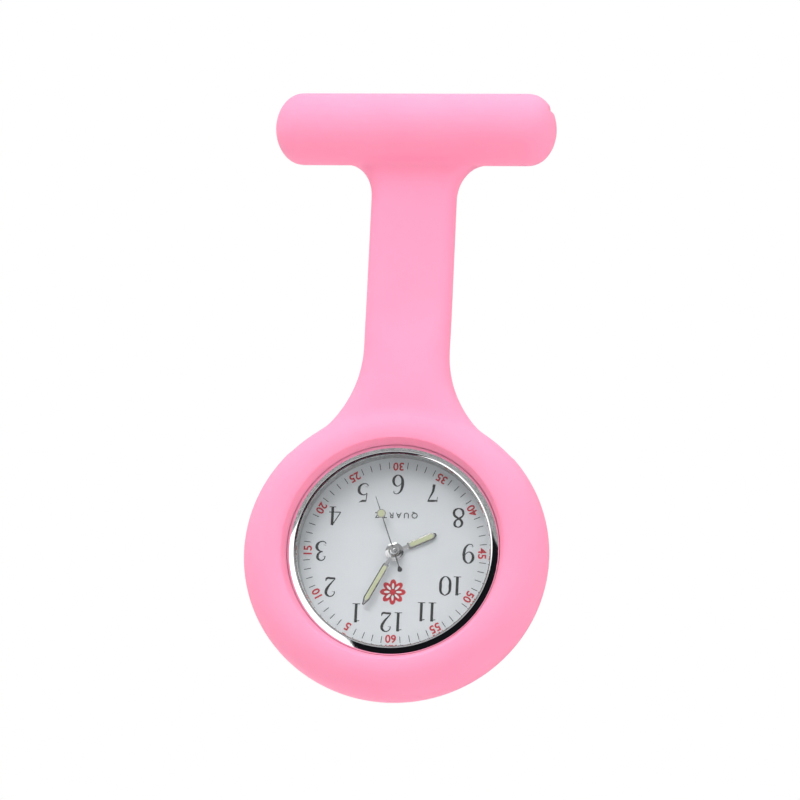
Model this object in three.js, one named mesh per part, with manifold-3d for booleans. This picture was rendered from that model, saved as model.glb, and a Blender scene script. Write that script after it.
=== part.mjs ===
// Fob watch: a quartz watch head held in a soft silicone sleeve that hangs from a brooch bar.
// Millimetres. The row frame is +Z up and -Y towards the reader, with its origin on the brooch
// needle's axis at mid-span. Everything is drawn in one turned group whose own axes are
// x to the right, y up and z towards the reader, so z is the depth in front of the needle.

import * as THREE from "three";
import { mergeVertices } from "three/addons/utils/BufferGeometryUtils.js";
import Module from "manifold-3d";

const wasm = await Module();
wasm.setup();

// ---- driving dimensions -------------------------------------------------------------------

// silicone sleeve
const BAR_LENGTH = 41; // cross bar that carries the brooch
const BAR_RADIUS = 5.15;
const BAR_END_DOME = 4; // depth of each domed end
const BAR_FLAT = 4.6; // bar's axis to its flat back
const BAR_FILLET = 4.8; // between bar and strap, seen from the front
const DROP = 63; // needle's axis down to the dial's centre
const STRAP_WIDTH = 12.2;
const STRAP_THICKNESS = 4.6;
const STRAP_EDGE = 1.6; // edge rounding
const STRAP_SET_IN = 0.7; // strap's back in front of the head's back
const FLARE_RADIUS = 17.4; // hollow curve from strap to head
const BEND_DROP = 20; // needle's axis down to the line the strap bends about
const POCKET_WALL = 2.75; // silicone outside the pulled crown
const BACK_FLANGE = 1.3; // lip that the caseback rests on
const BACK_OPENING = 12.5; // radius of the round window at the back
const BACK_ROUND = 3; // how far the head's back edge is rounded in
const WAIST_DEPTH = 4.6; // head's back face to its widest point
const RIM_SET_IN = 4.7; // head's widest radius to its front crest
const RECESS_DEPTH = 1.3; // bezel's front to the front crest
const RECESS_FLARE = 1.1; // how much wider the recess is at its mouth
const RECESS_ROLL = 0.9; // front crest to the mouth of the recess

// brooch finding
const STANDOFF = 1.9; // needle's axis to the silicone's flat back
const SLOT_LIP = 0.6; // silicone that holds the strip in its channel
const SLOT_NECK = 3; // width of the channel's mouth
const STRIP_WIDTH = 4.2;
const STRIP_THICKNESS = 0.5;
const STRIP_INSET = 1.5; // strip's open end, in from the bar's end
const STRIP_START = 3.5; // strip's other end, in from the bar's end
const NEEDLE_RADIUS = 0.45;
const NEEDLE_POINT = 3;
const EYE_RADIUS = 1;
const EYE_THICKNESS = 1.1;
const EAR_THICKNESS = 0.5;
const EAR_RADIUS = 1.2;
const RIVET_RADIUS = 0.35;
const HINGE_INSET = 5.5; // rivet, in from the bar's end
const CATCH_INSET = 6.2; // catch's middle, in from the bar's end
const CATCH_LENGTH = 1.4;
const CATCH_WALL = 0.45;
const TAB_REACH = 2.4; // catch's thumb tab, from the needle's axis

// watch case
const DIAL_RADIUS = 14.1;
const CASE_WALL = 1.25;
const BEZEL_STEP = 0.4; // bezel's radius inside the case's
const CASEBACK_THICKNESS = 0.6;
const CRYSTAL_THICKNESS = 0.85;
const GASKET_WIDTH = 0.37;
const BEZEL_RISE = 0.15; // bezel's front proud of the crystal
const BEZEL_CROWN = 0.45; // height of the bezel's rounded front
const LIP_DROP = 0.4; // crystal's front to the underside of the bezel's inner lip
const CASEBACK_RIM = 0.35;
const CASEBACK_RIM_HEIGHT = 1.1;
const REHAUT_WIDTH = 0.5;

// crown
const CROWN_RADIUS = 1.9;
const CROWN_LENGTH = 2.2;
const CROWN_PULL = 1;
const STEM_RADIUS = 0.45;
const TUBE_RADIUS = 0.95;
const STEM_TIP = 4.3; // stem's inner end, from the watch's centre

// movement
const BATTERY_RADIUS = 2.9;
const BATTERY_THICKNESS = 2.15;
const BRIDGE_THICKNESS = 0.4;
const WHEEL_THICKNESS = 0.14;
const LEVEL_STEP = 0.26; // from one wheel's level to the next
const PLATE_WEB = 0.63; // main plate between the train and the motion work
const DIAL_THICKNESS = 0.4;
const HAND_THICKNESS = 0.15;
const HAND_STEP = 0.4; // from one hand's level to the next
const COIL_RADIUS = 0.85;
const COIL_LENGTH = 6;
const QUARTZ_RADIUS = 0.75;
const QUARTZ_LENGTH = 5;
const ARBOR = 0.12;
const PIVOT = 0.09;

// Facets in a full turn. Pieces that lie close inside one another share a count.
const LARGE_ROUND = 40;
const MEDIUM_ROUND = 24;

// clearances
const PLAY = 0.05; // turned pieces that lie one in or on the other
const FIT = 0.1; // loose seats
const GAP = 0.3; // round pieces that silicone or a pocket wraps

// ---- depths, from the back to the front ---------------------------------------------------

const backZ = STANDOFF;
const flangeZ = backZ + BACK_FLANGE;
const caseBackZ = flangeZ + FIT;
const caseInsideZ = caseBackZ + CASEBACK_THICKNESS;
const batteryZ = caseInsideZ + 0.35;
const bridgeZ = caseInsideZ + 0.5;
const bridgeFrontZ = bridgeZ + BRIDGE_THICKNESS;
const plateBackZ = bridgeFrontZ + FIT;
const levelZ = (level) => bridgeFrontZ + 0.13 + level * LEVEL_STEP;
const [FIFTH_LEVEL, FOURTH_LEVEL, THIRD_LEVEL, CENTRE_LEVEL] = [0, 1, 2, 3];
const trainFloorZ = levelZ(CENTRE_LEVEL + 1);
const motionFloorZ = trainFloorZ + PLATE_WEB;
const minuteWheelZ = motionFloorZ + 0.08;
const hourWheelZ = minuteWheelZ + LEVEL_STEP;
const washerZ = hourWheelZ + WHEEL_THICKNESS + 0.03;
const washerFrontZ = washerZ + 0.1;
const plateFrontZ = washerFrontZ + 0.02;
const dialZ = plateFrontZ + PLAY;
const dialFrontZ = dialZ + DIAL_THICKNESS;
const hourHandZ = dialFrontZ + 0.22;
const minuteHandZ = hourHandZ + HAND_STEP;
const secondHandZ = minuteHandZ + HAND_STEP;
const capFrontZ = secondHandZ + HAND_THICKNESS + 0.15;
const crystalZ = capFrontZ + 0.25;
const crystalFrontZ = crystalZ + CRYSTAL_THICKNESS;
const bezelZ = crystalZ + PLAY;
const bezelFrontZ = crystalFrontZ + BEZEL_RISE;
const crestZ = bezelFrontZ + RECESS_DEPTH;
const stemZ = (plateBackZ + motionFloorZ) / 2;
const stripZ = backZ + SLOT_LIP + GAP;
const barZ = backZ + BAR_FLAT;
const strapZ = backZ + STRAP_SET_IN;
const bendZ = strapZ + STRAP_THICKNESS / 2;

// ---- radii, from the dial outwards --------------------------------------------------------

const boreRadius = DIAL_RADIUS + FIT;
const caseRadius = boreRadius + CASE_WALL;
const bezelRadius = caseRadius - BEZEL_STEP;
const gasketRadius = boreRadius - PLAY;
const crystalRadius = gasketRadius - GASKET_WIDTH - 0.03;
const cavityRadius = caseRadius + GAP;
const lipRadius = bezelRadius + FIT;
const crownSkirt = caseRadius + 0.2;
const crownFace = crownSkirt + CROWN_LENGTH;
const headRadius = crownFace + CROWN_PULL + GAP + FIT + POCKET_WALL;
const crestRadius = headRadius - RIM_SET_IN;

// ---- gears --------------------------------------------------------------------------------

// Each mesh is a wheel and a pinion at a centre distance set by their module.
const distance = (module, a, b) => (module * (a + b)) / 2;
const FAST = { module: 0.1, pinion: 6, wheel: 36 }; // rotor drives fifth wheel
const SECONDS = { module: 0.12, pinion: 6, wheel: 30 }; // fifth pinion drives fourth wheel
const SLOW = { module: 0.1, pinion: 6, wheel: 48 }; // fourth pinion drives third wheel
const CENTRE = { pinion: 6, wheel: 45 }; // third pinion drives centre wheel
const MINUTE = { module: 0.12, pinion: 8, wheel: 24 }; // cannon pinion drives minute wheel
const HOUR = { pinion: 8, wheel: 32 }; // minute pinion drives hour wheel
const thirdDistance = distance(SLOW.module, SLOW.pinion, SLOW.wheel);
CENTRE.module = (2 * thirdDistance) / (CENTRE.pinion + CENTRE.wheel);
const minuteDistance = distance(MINUTE.module, MINUTE.pinion, MINUTE.wheel);
HOUR.module = (2 * minuteDistance) / (HOUR.pinion + HOUR.wheel);

const polar = (radius, degrees) =>
  new THREE.Vector2(radius, 0).rotateAround(new THREE.Vector2(), THREE.MathUtils.degToRad(degrees));
const tipRadius = (gear, teeth) => gear.module * (teeth / 2 + 0.9);
const FIFTH_ANGLE = 40;
const THIRD_ANGLE = -60;
const MINUTE_ANGLE = 200;
const BATTERY_ANGLE = 120;
const QUARTZ_ANGLE = 225;
const fifthDistance = distance(SECONDS.module, SECONDS.pinion, SECONDS.wheel);
const rotorDistance = distance(FAST.module, FAST.pinion, FAST.wheel);
const fifthAt = polar(fifthDistance, FIFTH_ANGLE);
const rotorAt = polar(fifthDistance + rotorDistance, FIFTH_ANGLE);
const thirdAt = polar(thirdDistance, THIRD_ANGLE);
const minuteAt = polar(minuteDistance, MINUTE_ANGLE);
const wheelClear = tipRadius(CENTRE, CENTRE.wheel) + 0.4;
const movementRadius = wheelClear + 2 * BATTERY_RADIUS + 0.2;
const batteryAt = polar(movementRadius - BATTERY_RADIUS - 0.2, BATTERY_ANGLE);
const quartzAt = polar(movementRadius - QUARTZ_RADIUS - 1.15, QUARTZ_ANGLE);
const coilX = movementRadius - COIL_RADIUS - 1.15;
const coilMidY = -1;
const coilZ = trainFloorZ - COIL_RADIUS - FIT;
const stemHoleRadius = STEM_RADIUS + FIT;

// ---- solids -------------------------------------------------------------------------------

// Closed geometry to a manifold solid, with triangles of no area left out.
function solid(geometry) {
  const bare = geometry.clone();
  bare.deleteAttribute("normal");
  bare.deleteAttribute("uv");
  const merged = mergeVertices(bare, 1e-5);
  const triangles = [];
  for (let i = 0; i < merged.index.count; i += 3) {
    const corners = [0, 1, 2].map((k) => merged.index.getX(i + k));
    if (new Set(corners).size === 3) {
      triangles.push(...corners);
    }
  }
  const mesh = new wasm.Mesh({
    numProp: 3,
    vertProperties: new Float32Array(merged.attributes.position.array),
    triVerts: new Uint32Array(triangles),
  });
  return new wasm.Manifold(mesh);
}

// A manifold solid back to a geometry.
function skin(body) {
  const mesh = body.getMesh();
  const geometry = new THREE.BufferGeometry();
  geometry.setAttribute("position", new THREE.BufferAttribute(mesh.vertProperties, 3));
  geometry.setIndex(new THREE.BufferAttribute(mesh.triVerts, 1));
  return geometry;
}

const join = (...parts) => skin(parts.map(solid).reduce((all, next) => all.add(next)));

const cut = (body, ...tools) =>
  skin(tools.map(solid).reduce((left, tool) => left.subtract(tool), solid(body)));

// A turned solid about z. Its profile lists [radius, depth] and is closed here.
function turned(profile, segments) {
  const points = profile.map(([radius, depth]) => new THREE.Vector2(radius, depth));
  if (THREE.ShapeUtils.area(points) < 0) {
    points.reverse();
  }
  if (points.some((point) => point.x === 0)) {
    while (points[0].x > 0 || points[points.length - 1].x > 0) {
      points.push(points.shift());
    }
  } else {
    points.push(points[0].clone());
  }
  return new THREE.LatheGeometry(points, segments).rotateX(Math.PI / 2);
}

const disc = (radius, from, to, segments = 24) =>
  turned([[0, from], [radius, from], [radius, to], [0, to]], segments);

const ring = (inner, outer, from, to, segments = 24) =>
  turned([[inner, from], [outer, from], [outer, to], [inner, to]], segments);

// Turns a piece drawn about z so that it lies about x or about y.
const alongX = (geometry) => geometry.rotateY(Math.PI / 2);
const alongY = (geometry) => geometry.rotateX(-Math.PI / 2);

const discAt = (at, radius, from, to, segments = 20) =>
  disc(radius, from, to, segments).translate(at.x, at.y, 0);

function block(from, to) {
  const size = to.map((value, i) => value - from[i]);
  const middle = to.map((value, i) => (value + from[i]) / 2);
  return new THREE.BoxGeometry(...size).translate(...middle);
}

// A flat plate cut from an outline in x and y.
function plate(outline, from, to) {
  const options = { depth: to - from, bevelEnabled: false };
  return new THREE.ExtrudeGeometry(outline, options).translate(0, 0, from);
}

// An arc's points, both ends included.
function arc(centre, radii, fromDegrees, toDegrees, steps) {
  return Array.from({ length: steps + 1 }, (unused, i) => {
    const angle = THREE.MathUtils.degToRad(fromDegrees + ((toDegrees - fromDegrees) * i) / steps);
    return [centre[0] + radii[0] * Math.cos(angle), centre[1] + radii[1] * Math.sin(angle)];
  });
}

const outlineOf = (points) => new THREE.Shape(points.map(([x, y]) => new THREE.Vector2(x, y)));

// Flat-topped teeth with V-shaped gaps. A tooth's middle lies at the phase angle.
function gear(teeth, module, phase, from, to) {
  const pitch = (2 * Math.PI) / teeth;
  const tip = module * (teeth / 2 + 0.9);
  const root = module * (teeth / 2 - 1.3);
  const halfTip = pitch * 0.14;
  const points = [];
  for (let i = 0; i < teeth; i += 1) {
    const middle = phase + i * pitch;
    for (const [radius, angle] of [
      [tip, middle - halfTip],
      [tip, middle + halfTip],
      [root, middle + pitch / 2],
    ]) {
      points.push([radius * Math.cos(angle), radius * Math.sin(angle)]);
    }
  }
  return plate(outlineOf(points), from, to);
}

// Phases that put a tooth of the first gear into a gap of the second, which lies at an angle.
const toothTowards = (degrees) => THREE.MathUtils.degToRad(degrees);
const gapTowards = (degrees, teeth) => THREE.MathUtils.degToRad(degrees) + Math.PI / teeth;

// ---- materials and pieces -----------------------------------------------------------------

const look = (color, roughness, metalness, extra = {}) => ({ color, roughness, metalness, ...extra });
const SILICONE = look(0xffa6cd, 0.6, 0);
const CHROME = look(0xd9dadd, 0.08, 1);
const STEEL = look(0xb9babd, 0.3, 1);
const BRASS = look(0xd0a85c, 0.35, 1);
const RUBBER = look(0x1c1c1e, 0.8, 0);
const GLASS = look(0xffffff, 0.02, 0, { transparent: true, opacity: 0.2 });
const DIAL_PAINT = look(0xd2d4db, 0.35, 0.4);
const PLASTIC = look(0xe8e6df, 0.5, 0);

const watch = new THREE.Group();
watch.rotation.x = Math.PI / 2;
const head = new THREE.Group();
head.position.y = -DROP;
watch.add(head);

function place(group, name, geometry, finish, at = [0, 0]) {
  const mesh = new THREE.Mesh(geometry, new THREE.MeshStandardMaterial(finish));
  mesh.name = name;
  mesh.position.set(at[0], at[1], 0);
  group.add(mesh);
}

// ---- silicone sleeve ----------------------------------------------------------------------

const halfStrap = STRAP_WIDTH / 2;
const edgeSteps = 2;

// A strap of the sleeve's thickness with rounded edges, from an outline seen from the front.
function strap(points) {
  const options = {
    depth: STRAP_THICKNESS - 2 * STRAP_EDGE,
    bevelThickness: STRAP_EDGE,
    bevelSize: STRAP_EDGE,
    bevelOffset: -STRAP_EDGE,
    bevelSegments: edgeSteps,
    curveSegments: 1,
  };
  const geometry = new THREE.ExtrudeGeometry(outlineOf(points), options);
  return geometry.translate(0, 0, strapZ + STRAP_EDGE);
}

const mirrored = (points) => points.map(([x, y]) => [-x, y]).reverse();

function broochBar() {
  const half = BAR_LENGTH / 2;
  const dome = arc([0, half - BAR_END_DOME], [BAR_RADIUS, BAR_END_DOME], 0, 90, 5);
  const tail = arc([0, BAR_END_DOME - half], [BAR_RADIUS, BAR_END_DOME], -90, 0, 5);
  dome[dome.length - 1][0] = 0;
  tail[0][0] = 0;
  const bar = alongX(turned([...tail, ...dome], 28)).translate(0, 0, barZ);
  const filletY = -BAR_RADIUS - BAR_FILLET;
  const fillet = arc([halfStrap + BAR_FILLET, filletY], [BAR_FILLET, BAR_FILLET], 90, 180, 5);
  const endY = -BEND_DROP + STRAP_THICKNESS / 2 + GAP;
  const side = [[halfStrap + BAR_FILLET, 0], ...fillet, [halfStrap, endY]];
  const tongue = strap([...side, ...mirrored(side)]);
  const flatCut = block([-half, -BAR_RADIUS, barZ - BAR_RADIUS - 1], [half, BAR_RADIUS, backZ]);
  const slotFrom = -half + STRIP_START - GAP;
  const slotHalf = STRIP_WIDTH / 2 + GAP;
  const channel = block(
    [slotFrom, -slotHalf, stripZ - GAP],
    [half + 1, slotHalf, stripZ + STRIP_THICKNESS + GAP],
  );
  const neck = block([slotFrom, -SLOT_NECK / 2, backZ - 1], [half + 1, SLOT_NECK / 2, stripZ]);
  const notch = block(
    [half - 1.2, slotHalf - 0.2, backZ - 1],
    [half + 1, BAR_RADIUS + 1, barZ + BAR_RADIUS + 1],
  );
  return cut(join(bar, tongue), flatCut, channel, neck, notch);
}

function pocketHead() {
  const waistZ = backZ + WAIST_DEPTH;
  const back = arc([headRadius - BACK_ROUND, waistZ], [BACK_ROUND, WAIST_DEPTH], -90, 0, 4);
  const front = arc([crestRadius, waistZ], [RIM_SET_IN, crestZ - waistZ], 0, 90, 5).slice(1);
  const mouth = lipRadius + RECESS_FLARE;
  const roll = arc([crestRadius, crestZ - RECESS_ROLL], [crestRadius - mouth, RECESS_ROLL], 90, 180, 2).slice(1);
  const section = [
    [BACK_OPENING, backZ],
    ...back,
    ...front,
    ...roll,
    [lipRadius, bezelFrontZ - 0.35],
    [cavityRadius, bezelZ - FIT],
    [cavityRadius, flangeZ],
    [BACK_OPENING, flangeZ],
  ];
  const shell = turned(section, LARGE_ROUND);
  const bendY = DROP - BEND_DROP;
  const flareX = halfStrap + FLARE_RADIUS;
  const flareY = Math.sqrt((headRadius + FLARE_RADIUS) ** 2 - flareX ** 2);
  const meet = THREE.MathUtils.radToDeg(Math.atan2(flareY, flareX));
  const flare = arc([flareX, flareY], [FLARE_RADIUS, FLARE_RADIUS], 180, 180 + meet, 6);
  const inner = arc([0, 0], [headRadius - 3.2, headRadius - 3.2], meet, 90, 4);
  const side = [[halfStrap, bendY + STRAP_EDGE], ...flare, ...inner];
  const tongue = strap([...side.slice(0, -1), ...mirrored(side)]);
  const edge = arc(
    [STRAP_THICKNESS / 2 - STRAP_EDGE, halfStrap - STRAP_EDGE],
    [STRAP_EDGE, STRAP_EDGE],
    0,
    90,
    edgeSteps,
  );
  const lower = edge.map(([radius, along]) => [radius, -along]).reverse();
  const barrel = alongX(turned([[0, -halfStrap], ...lower, ...edge, [0, halfStrap]], 16));
  const crownRoom = alongX(
    disc(CROWN_RADIUS + GAP + FIT, -headRadius + POCKET_WALL, -caseRadius + 1, 20),
  ).translate(0, 0, stemZ);
  return cut(join(shell, tongue, barrel.translate(0, bendY, bendZ)), crownRoom);
}

place(watch, "sleeve_brooch_bar", broochBar(), SILICONE);
place(head, "sleeve_pocket", pocketHead(), SILICONE);

// ---- brooch finding -----------------------------------------------------------------------

const hingeX = HINGE_INSET - BAR_LENGTH / 2;
const catchX = BAR_LENGTH / 2 - CATCH_INSET;
const eyeHole = RIVET_RADIUS + 0.07;
const earFrom = EYE_THICKNESS / 2 + FIT;
const needleWay = NEEDLE_RADIUS + FIT; // half width of the catch's slot and its bore
const collarRadius = needleWay + 0.47;
const postBore = collarRadius + PLAY;
const postRadius = postBore + CATCH_WALL;

function pinBase() {
  const half = BAR_LENGTH / 2;
  const strip = block(
    [STRIP_START - half, -STRIP_WIDTH / 2, stripZ],
    [half - STRIP_INSET, STRIP_WIDTH / 2, stripZ + STRIP_THICKNESS],
  );
  const earTo = earFrom + EAR_THICKNESS;
  const cap = alongY(disc(EAR_RADIUS, -earTo, earTo, 20)).translate(hingeX, 0, 0);
  const cheek = block([hingeX - EAR_RADIUS, -earTo, 0], [hingeX + EAR_RADIUS, earTo, stripZ + 0.2]);
  const between = block(
    [hingeX - EAR_RADIUS - 1, -earFrom, -EAR_RADIUS - 1],
    [hingeX + EAR_RADIUS + 1, earFrom, stripZ],
  );
  const rivetHole = alongY(disc(RIVET_RADIUS + PLAY, -earTo - 1, earTo + 1, 16));
  const ears = cut(join(cap, cheek), between, rivetHole.translate(hingeX, 0, 0));
  const from = catchX - CATCH_LENGTH / 2;
  const to = catchX + CATCH_LENGTH / 2;
  const hoop = alongX(disc(postRadius, from, to, 24));
  const stalk = block([from, -1.1, 0], [to, 1.1, stripZ + 0.2]);
  const bore = alongX(disc(postBore, from - 1, to + 1, 24));
  const mouth = block([from - 1, -needleWay, -postRadius - 1], [to + 1, needleWay, 0]);
  const post = cut(join(hoop, stalk), bore, mouth);
  return join(strip, ears, post);
}

function pinNeedle() {
  const tip = catchX + CATCH_LENGTH / 2 + 1.6;
  const shaft = alongX(
    turned([[0, hingeX], [NEEDLE_RADIUS, hingeX], [NEEDLE_RADIUS, tip - NEEDLE_POINT],
      [NEEDLE_RADIUS * 0.6, tip - NEEDLE_POINT / 3], [0, tip]], 10),
  );
  const halfEye = EYE_THICKNESS / 2;
  const eye = alongY(disc(EYE_RADIUS, -halfEye, halfEye, 20)).translate(hingeX, 0, 0);
  const hole = alongY(disc(eyeHole, -halfEye - 1, halfEye + 1, 16)).translate(hingeX, 0, 0);
  return cut(join(shaft, eye), hole);
}

function hingeRivet() {
  const seat = earFrom + EAR_THICKNESS + 0.02;
  const profile = [[0, -seat - 0.25], [0.6, -seat - 0.25], [0.6, -seat], [RIVET_RADIUS, -seat],
    [RIVET_RADIUS, seat], [0.6, seat], [0.6, seat + 0.25], [0, seat + 0.25]];
  return alongY(turned(profile, 12)).translate(hingeX, 0, 0);
}

// The locking collar turns inside the catch's hoop. Its slot meets the hoop's when it is open.
function catchCollar() {
  const half = CATCH_LENGTH / 2 + PLAY;
  const flange = postBore + 0.25;
  const spool = alongX(
    turned([[0, -half - 0.4], [flange, -half - 0.4], [flange, -half], [collarRadius, -half],
      [collarRadius, half], [flange, half], [flange, half + 0.4], [0, half + 0.4]], 18),
  );
  const tab = block([-half - 0.4, needleWay + 0.1, -0.35], [-half, TAB_REACH, 0.35]);
  const bore = alongX(disc(needleWay, -half - 1, half + 1, 16));
  const mouth = block([-half - 1, -needleWay, -flange - 1], [half + 1, needleWay, 0]);
  return cut(join(spool, tab), bore, mouth).translate(catchX, 0, 0);
}

place(watch, "pin_base", pinBase(), STEEL);
place(watch, "hinge_rivet", hingeRivet(), STEEL);
place(watch, "pin_needle", pinNeedle(), STEEL);
place(watch, "catch_collar", catchCollar(), STEEL);

// ---- watch case ---------------------------------------------------------------------------

const rimRadius = boreRadius - 0.65; // outside of the caseback's snap rim
const snapBore = rimRadius + 0.3;
const rimTopZ = caseInsideZ + CASEBACK_RIM_HEIGHT;

function caseRing() {
  const body = turned(
    [
      [snapBore, caseInsideZ + PLAY],
      [caseRadius - 0.6, caseInsideZ + PLAY],
      [caseRadius, caseInsideZ + 1.3],
      [caseRadius, bezelZ - 1.2],
      [bezelRadius, bezelZ - PLAY],
      [boreRadius, bezelZ - PLAY],
      [boreRadius, rimTopZ + 0.2],
      [snapBore, rimTopZ + 0.2],
    ],
    LARGE_ROUND,
  );
  const tubeHole = alongX(disc(TUBE_RADIUS + PLAY, -caseRadius - 1, -boreRadius + 1.5, 20));
  return cut(body, tubeHole.translate(0, 0, stemZ));
}

const caseback = turned(
  [
    [0, caseBackZ],
    [caseRadius - 0.9, caseBackZ],
    [caseRadius - 0.7, caseBackZ + 0.2],
    [caseRadius - 0.7, caseInsideZ],
    [rimRadius, caseInsideZ],
    [rimRadius, rimTopZ],
    [rimRadius - CASEBACK_RIM, rimTopZ],
    [rimRadius - CASEBACK_RIM, caseInsideZ],
    [0, caseInsideZ],
  ],
  LARGE_ROUND,
);
const casebackGasket = ring(
  rimRadius + 0.03,
  snapBore - 0.03,
  caseInsideZ + PLAY,
  rimTopZ - 0.3,
  LARGE_ROUND,
);

function bezelRing() {
  const innerLip = crystalRadius + PLAY;
  const crown = arc(
    [(bezelRadius + innerLip) / 2, bezelFrontZ - BEZEL_CROWN],
    [(bezelRadius - innerLip) / 2, BEZEL_CROWN],
    0,
    180,
    4,
  );
  return turned(
    [
      [boreRadius, bezelZ],
      [bezelRadius, bezelZ],
      ...crown,
      [innerLip, crystalFrontZ - LIP_DROP],
      [boreRadius, crystalFrontZ - LIP_DROP],
    ],
    LARGE_ROUND,
  );
}

const crystal = disc(crystalRadius, crystalZ, crystalFrontZ, LARGE_ROUND);
const crystalGasket = ring(
  gasketRadius - GASKET_WIDTH,
  gasketRadius,
  bezelZ,
  crystalFrontZ - LIP_DROP - PLAY,
  LARGE_ROUND,
);
const rehaut = turned(
  [
    [DIAL_RADIUS - REHAUT_WIDTH, dialFrontZ + PLAY],
    [DIAL_RADIUS, dialFrontZ + PLAY],
    [DIAL_RADIUS, crystalZ - PLAY],
    [DIAL_RADIUS - REHAUT_WIDTH + 0.15, crystalZ - PLAY],
  ],
  LARGE_ROUND,
);

place(head, "case_ring", caseRing(), CHROME);
place(head, "caseback", caseback, STEEL);
place(head, "caseback_gasket", casebackGasket, RUBBER);
place(head, "bezel", bezelRing(), CHROME);
place(head, "crystal", crystal, GLASS);
place(head, "crystal_gasket", crystalGasket, PLASTIC);
place(head, "rehaut_ring", rehaut, STEEL);

// ---- dial and its feet --------------------------------------------------------------------

const FOOT_RADIUS = 0.35;
const footAt = [45, 225].map((degrees) => polar(movementRadius - 1.3, degrees));
const hourTubeRadius = 0.75;
const cannonRadius = 0.45;
const secondArbor = 0.12;

function dialPlate() {
  const face = ring(hourTubeRadius + FIT, DIAL_RADIUS, dialZ, dialFrontZ, LARGE_ROUND);
  return join(face, ...footAt.map((foot) => discAt(foot, FOOT_RADIUS, dialZ - 0.9, dialZ + 0.1, 8)));
}

place(head, "dial", dialPlate(), DIAL_PAINT);
place(head, "dial_washer", ring(hourTubeRadius + 0.1, 1.6, washerZ, washerFrontZ, 16), BRASS);

// ---- hands --------------------------------------------------------------------------------

// An angle in degrees clockwise from twelve. The dial reads upside down, so twelve is lowest.
const clockwise = (degrees) => THREE.MathUtils.degToRad(-90 - degrees);
const HOUR_ANGLE = 245.6;
const MINUTE_HAND_ANGLE = 27.8;
const SECOND_ANGLE = 159.5;

function hand({ boss, hole, neck, blade, shoulder, chisel, tip, tipWidth, angle }, depth) {
  const half = blade / 2;
  const upper = [
    [0, neck / 2],
    [shoulder - half, neck / 2],
    [shoulder, half],
    [tip - chisel, half],
    [tip, tipWidth / 2],
  ];
  const lower = upper.map(([x, y]) => [x, -y]).reverse();
  const top = depth + HAND_THICKNESS;
  const arm = plate(outlineOf([...upper, ...lower].reverse()), depth, top);
  const body = cut(join(arm, disc(boss, depth, top, 24)), disc(hole, depth - 1, top + 1, 20));
  return body.rotateZ(clockwise(angle));
}

const hourHand = hand(
  { boss: 1.3, hole: hourTubeRadius + 0.03, neck: 0.6, blade: 1.05, shoulder: 2.4, chisel: 0.6,
    tip: 6.2, tipWidth: 0.4, angle: HOUR_ANGLE },
  hourHandZ,
);
const minuteHand = hand(
  { boss: 1.1, hole: cannonRadius + 0.03, neck: 0.5, blade: 1.05, shoulder: 2.4, chisel: 1,
    tip: 8.45, tipWidth: 0.3, angle: MINUTE_HAND_ANGLE },
  minuteHandZ,
);

function secondHand() {
  const top = secondHandZ + HAND_THICKNESS;
  const shaft = block([-3.1, -0.12, secondHandZ], [8.3, 0.12, top]);
  const lume = disc(0.635, secondHandZ, top, 18).translate(5.7, 0, 0);
  const weight = disc(0.35, secondHandZ, top, 12).translate(-2.75, 0, 0);
  const cap = disc(0.55, secondHandZ, capFrontZ, 20);
  const hole = disc(secondArbor + 0.03, secondHandZ - 1, top, 12);
  return cut(join(shaft, lume, weight, cap), hole).rotateZ(clockwise(SECOND_ANGLE));
}

place(head, "hour_hand", hourHand, CHROME);
place(head, "minute_hand", minuteHand, CHROME);
place(head, "second_hand", secondHand(), CHROME);

// ---- gear train and motion work -----------------------------------------------------------

const frontOf = (level) => levelZ(level) + WHEEL_THICKNESS;
const pivotBackZ = bridgeZ + PLAY;
const pivotFrontZ = trainFloorZ + 0.4;

// An arbor whose ends are pivots in the bridge and in the main plate.
function arbor() {
  const shoulderBack = bridgeFrontZ + 0.06;
  const shoulderFront = trainFloorZ - 0.04;
  return turned(
    [
      [0, pivotBackZ],
      [PIVOT, pivotBackZ],
      [PIVOT, shoulderBack],
      [ARBOR, shoulderBack],
      [ARBOR, shoulderFront],
      [PIVOT, shoulderFront],
      [PIVOT, pivotFrontZ],
      [0, pivotFrontZ],
    ],
    8,
  );
}

const wheel = (mesh, phase, from) =>
  gear(mesh.wheel, mesh.module, phase, from, from + WHEEL_THICKNESS);

function stepRotor() {
  const phase = gapTowards(FIFTH_ANGLE + 180, FAST.pinion);
  const from = levelZ(FIFTH_LEVEL);
  const pinion = gear(FAST.pinion, FAST.module, phase, from - 0.03, from + WHEEL_THICKNESS + 0.03);
  const magnet = disc(0.8, levelZ(FOURTH_LEVEL), levelZ(CENTRE_LEVEL) + 0.05, 20);
  return join(arbor(), pinion, magnet);
}

function fifthWheel() {
  const pinionPhase = gapTowards(FIFTH_ANGLE + 180, SECONDS.pinion);
  const to = frontOf(FOURTH_LEVEL) + 0.03;
  return join(
    arbor(),
    wheel(FAST, toothTowards(FIFTH_ANGLE), levelZ(FIFTH_LEVEL)),
    gear(SECONDS.pinion, SECONDS.module, pinionPhase, frontOf(FIFTH_LEVEL), to),
  );
}

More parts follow.
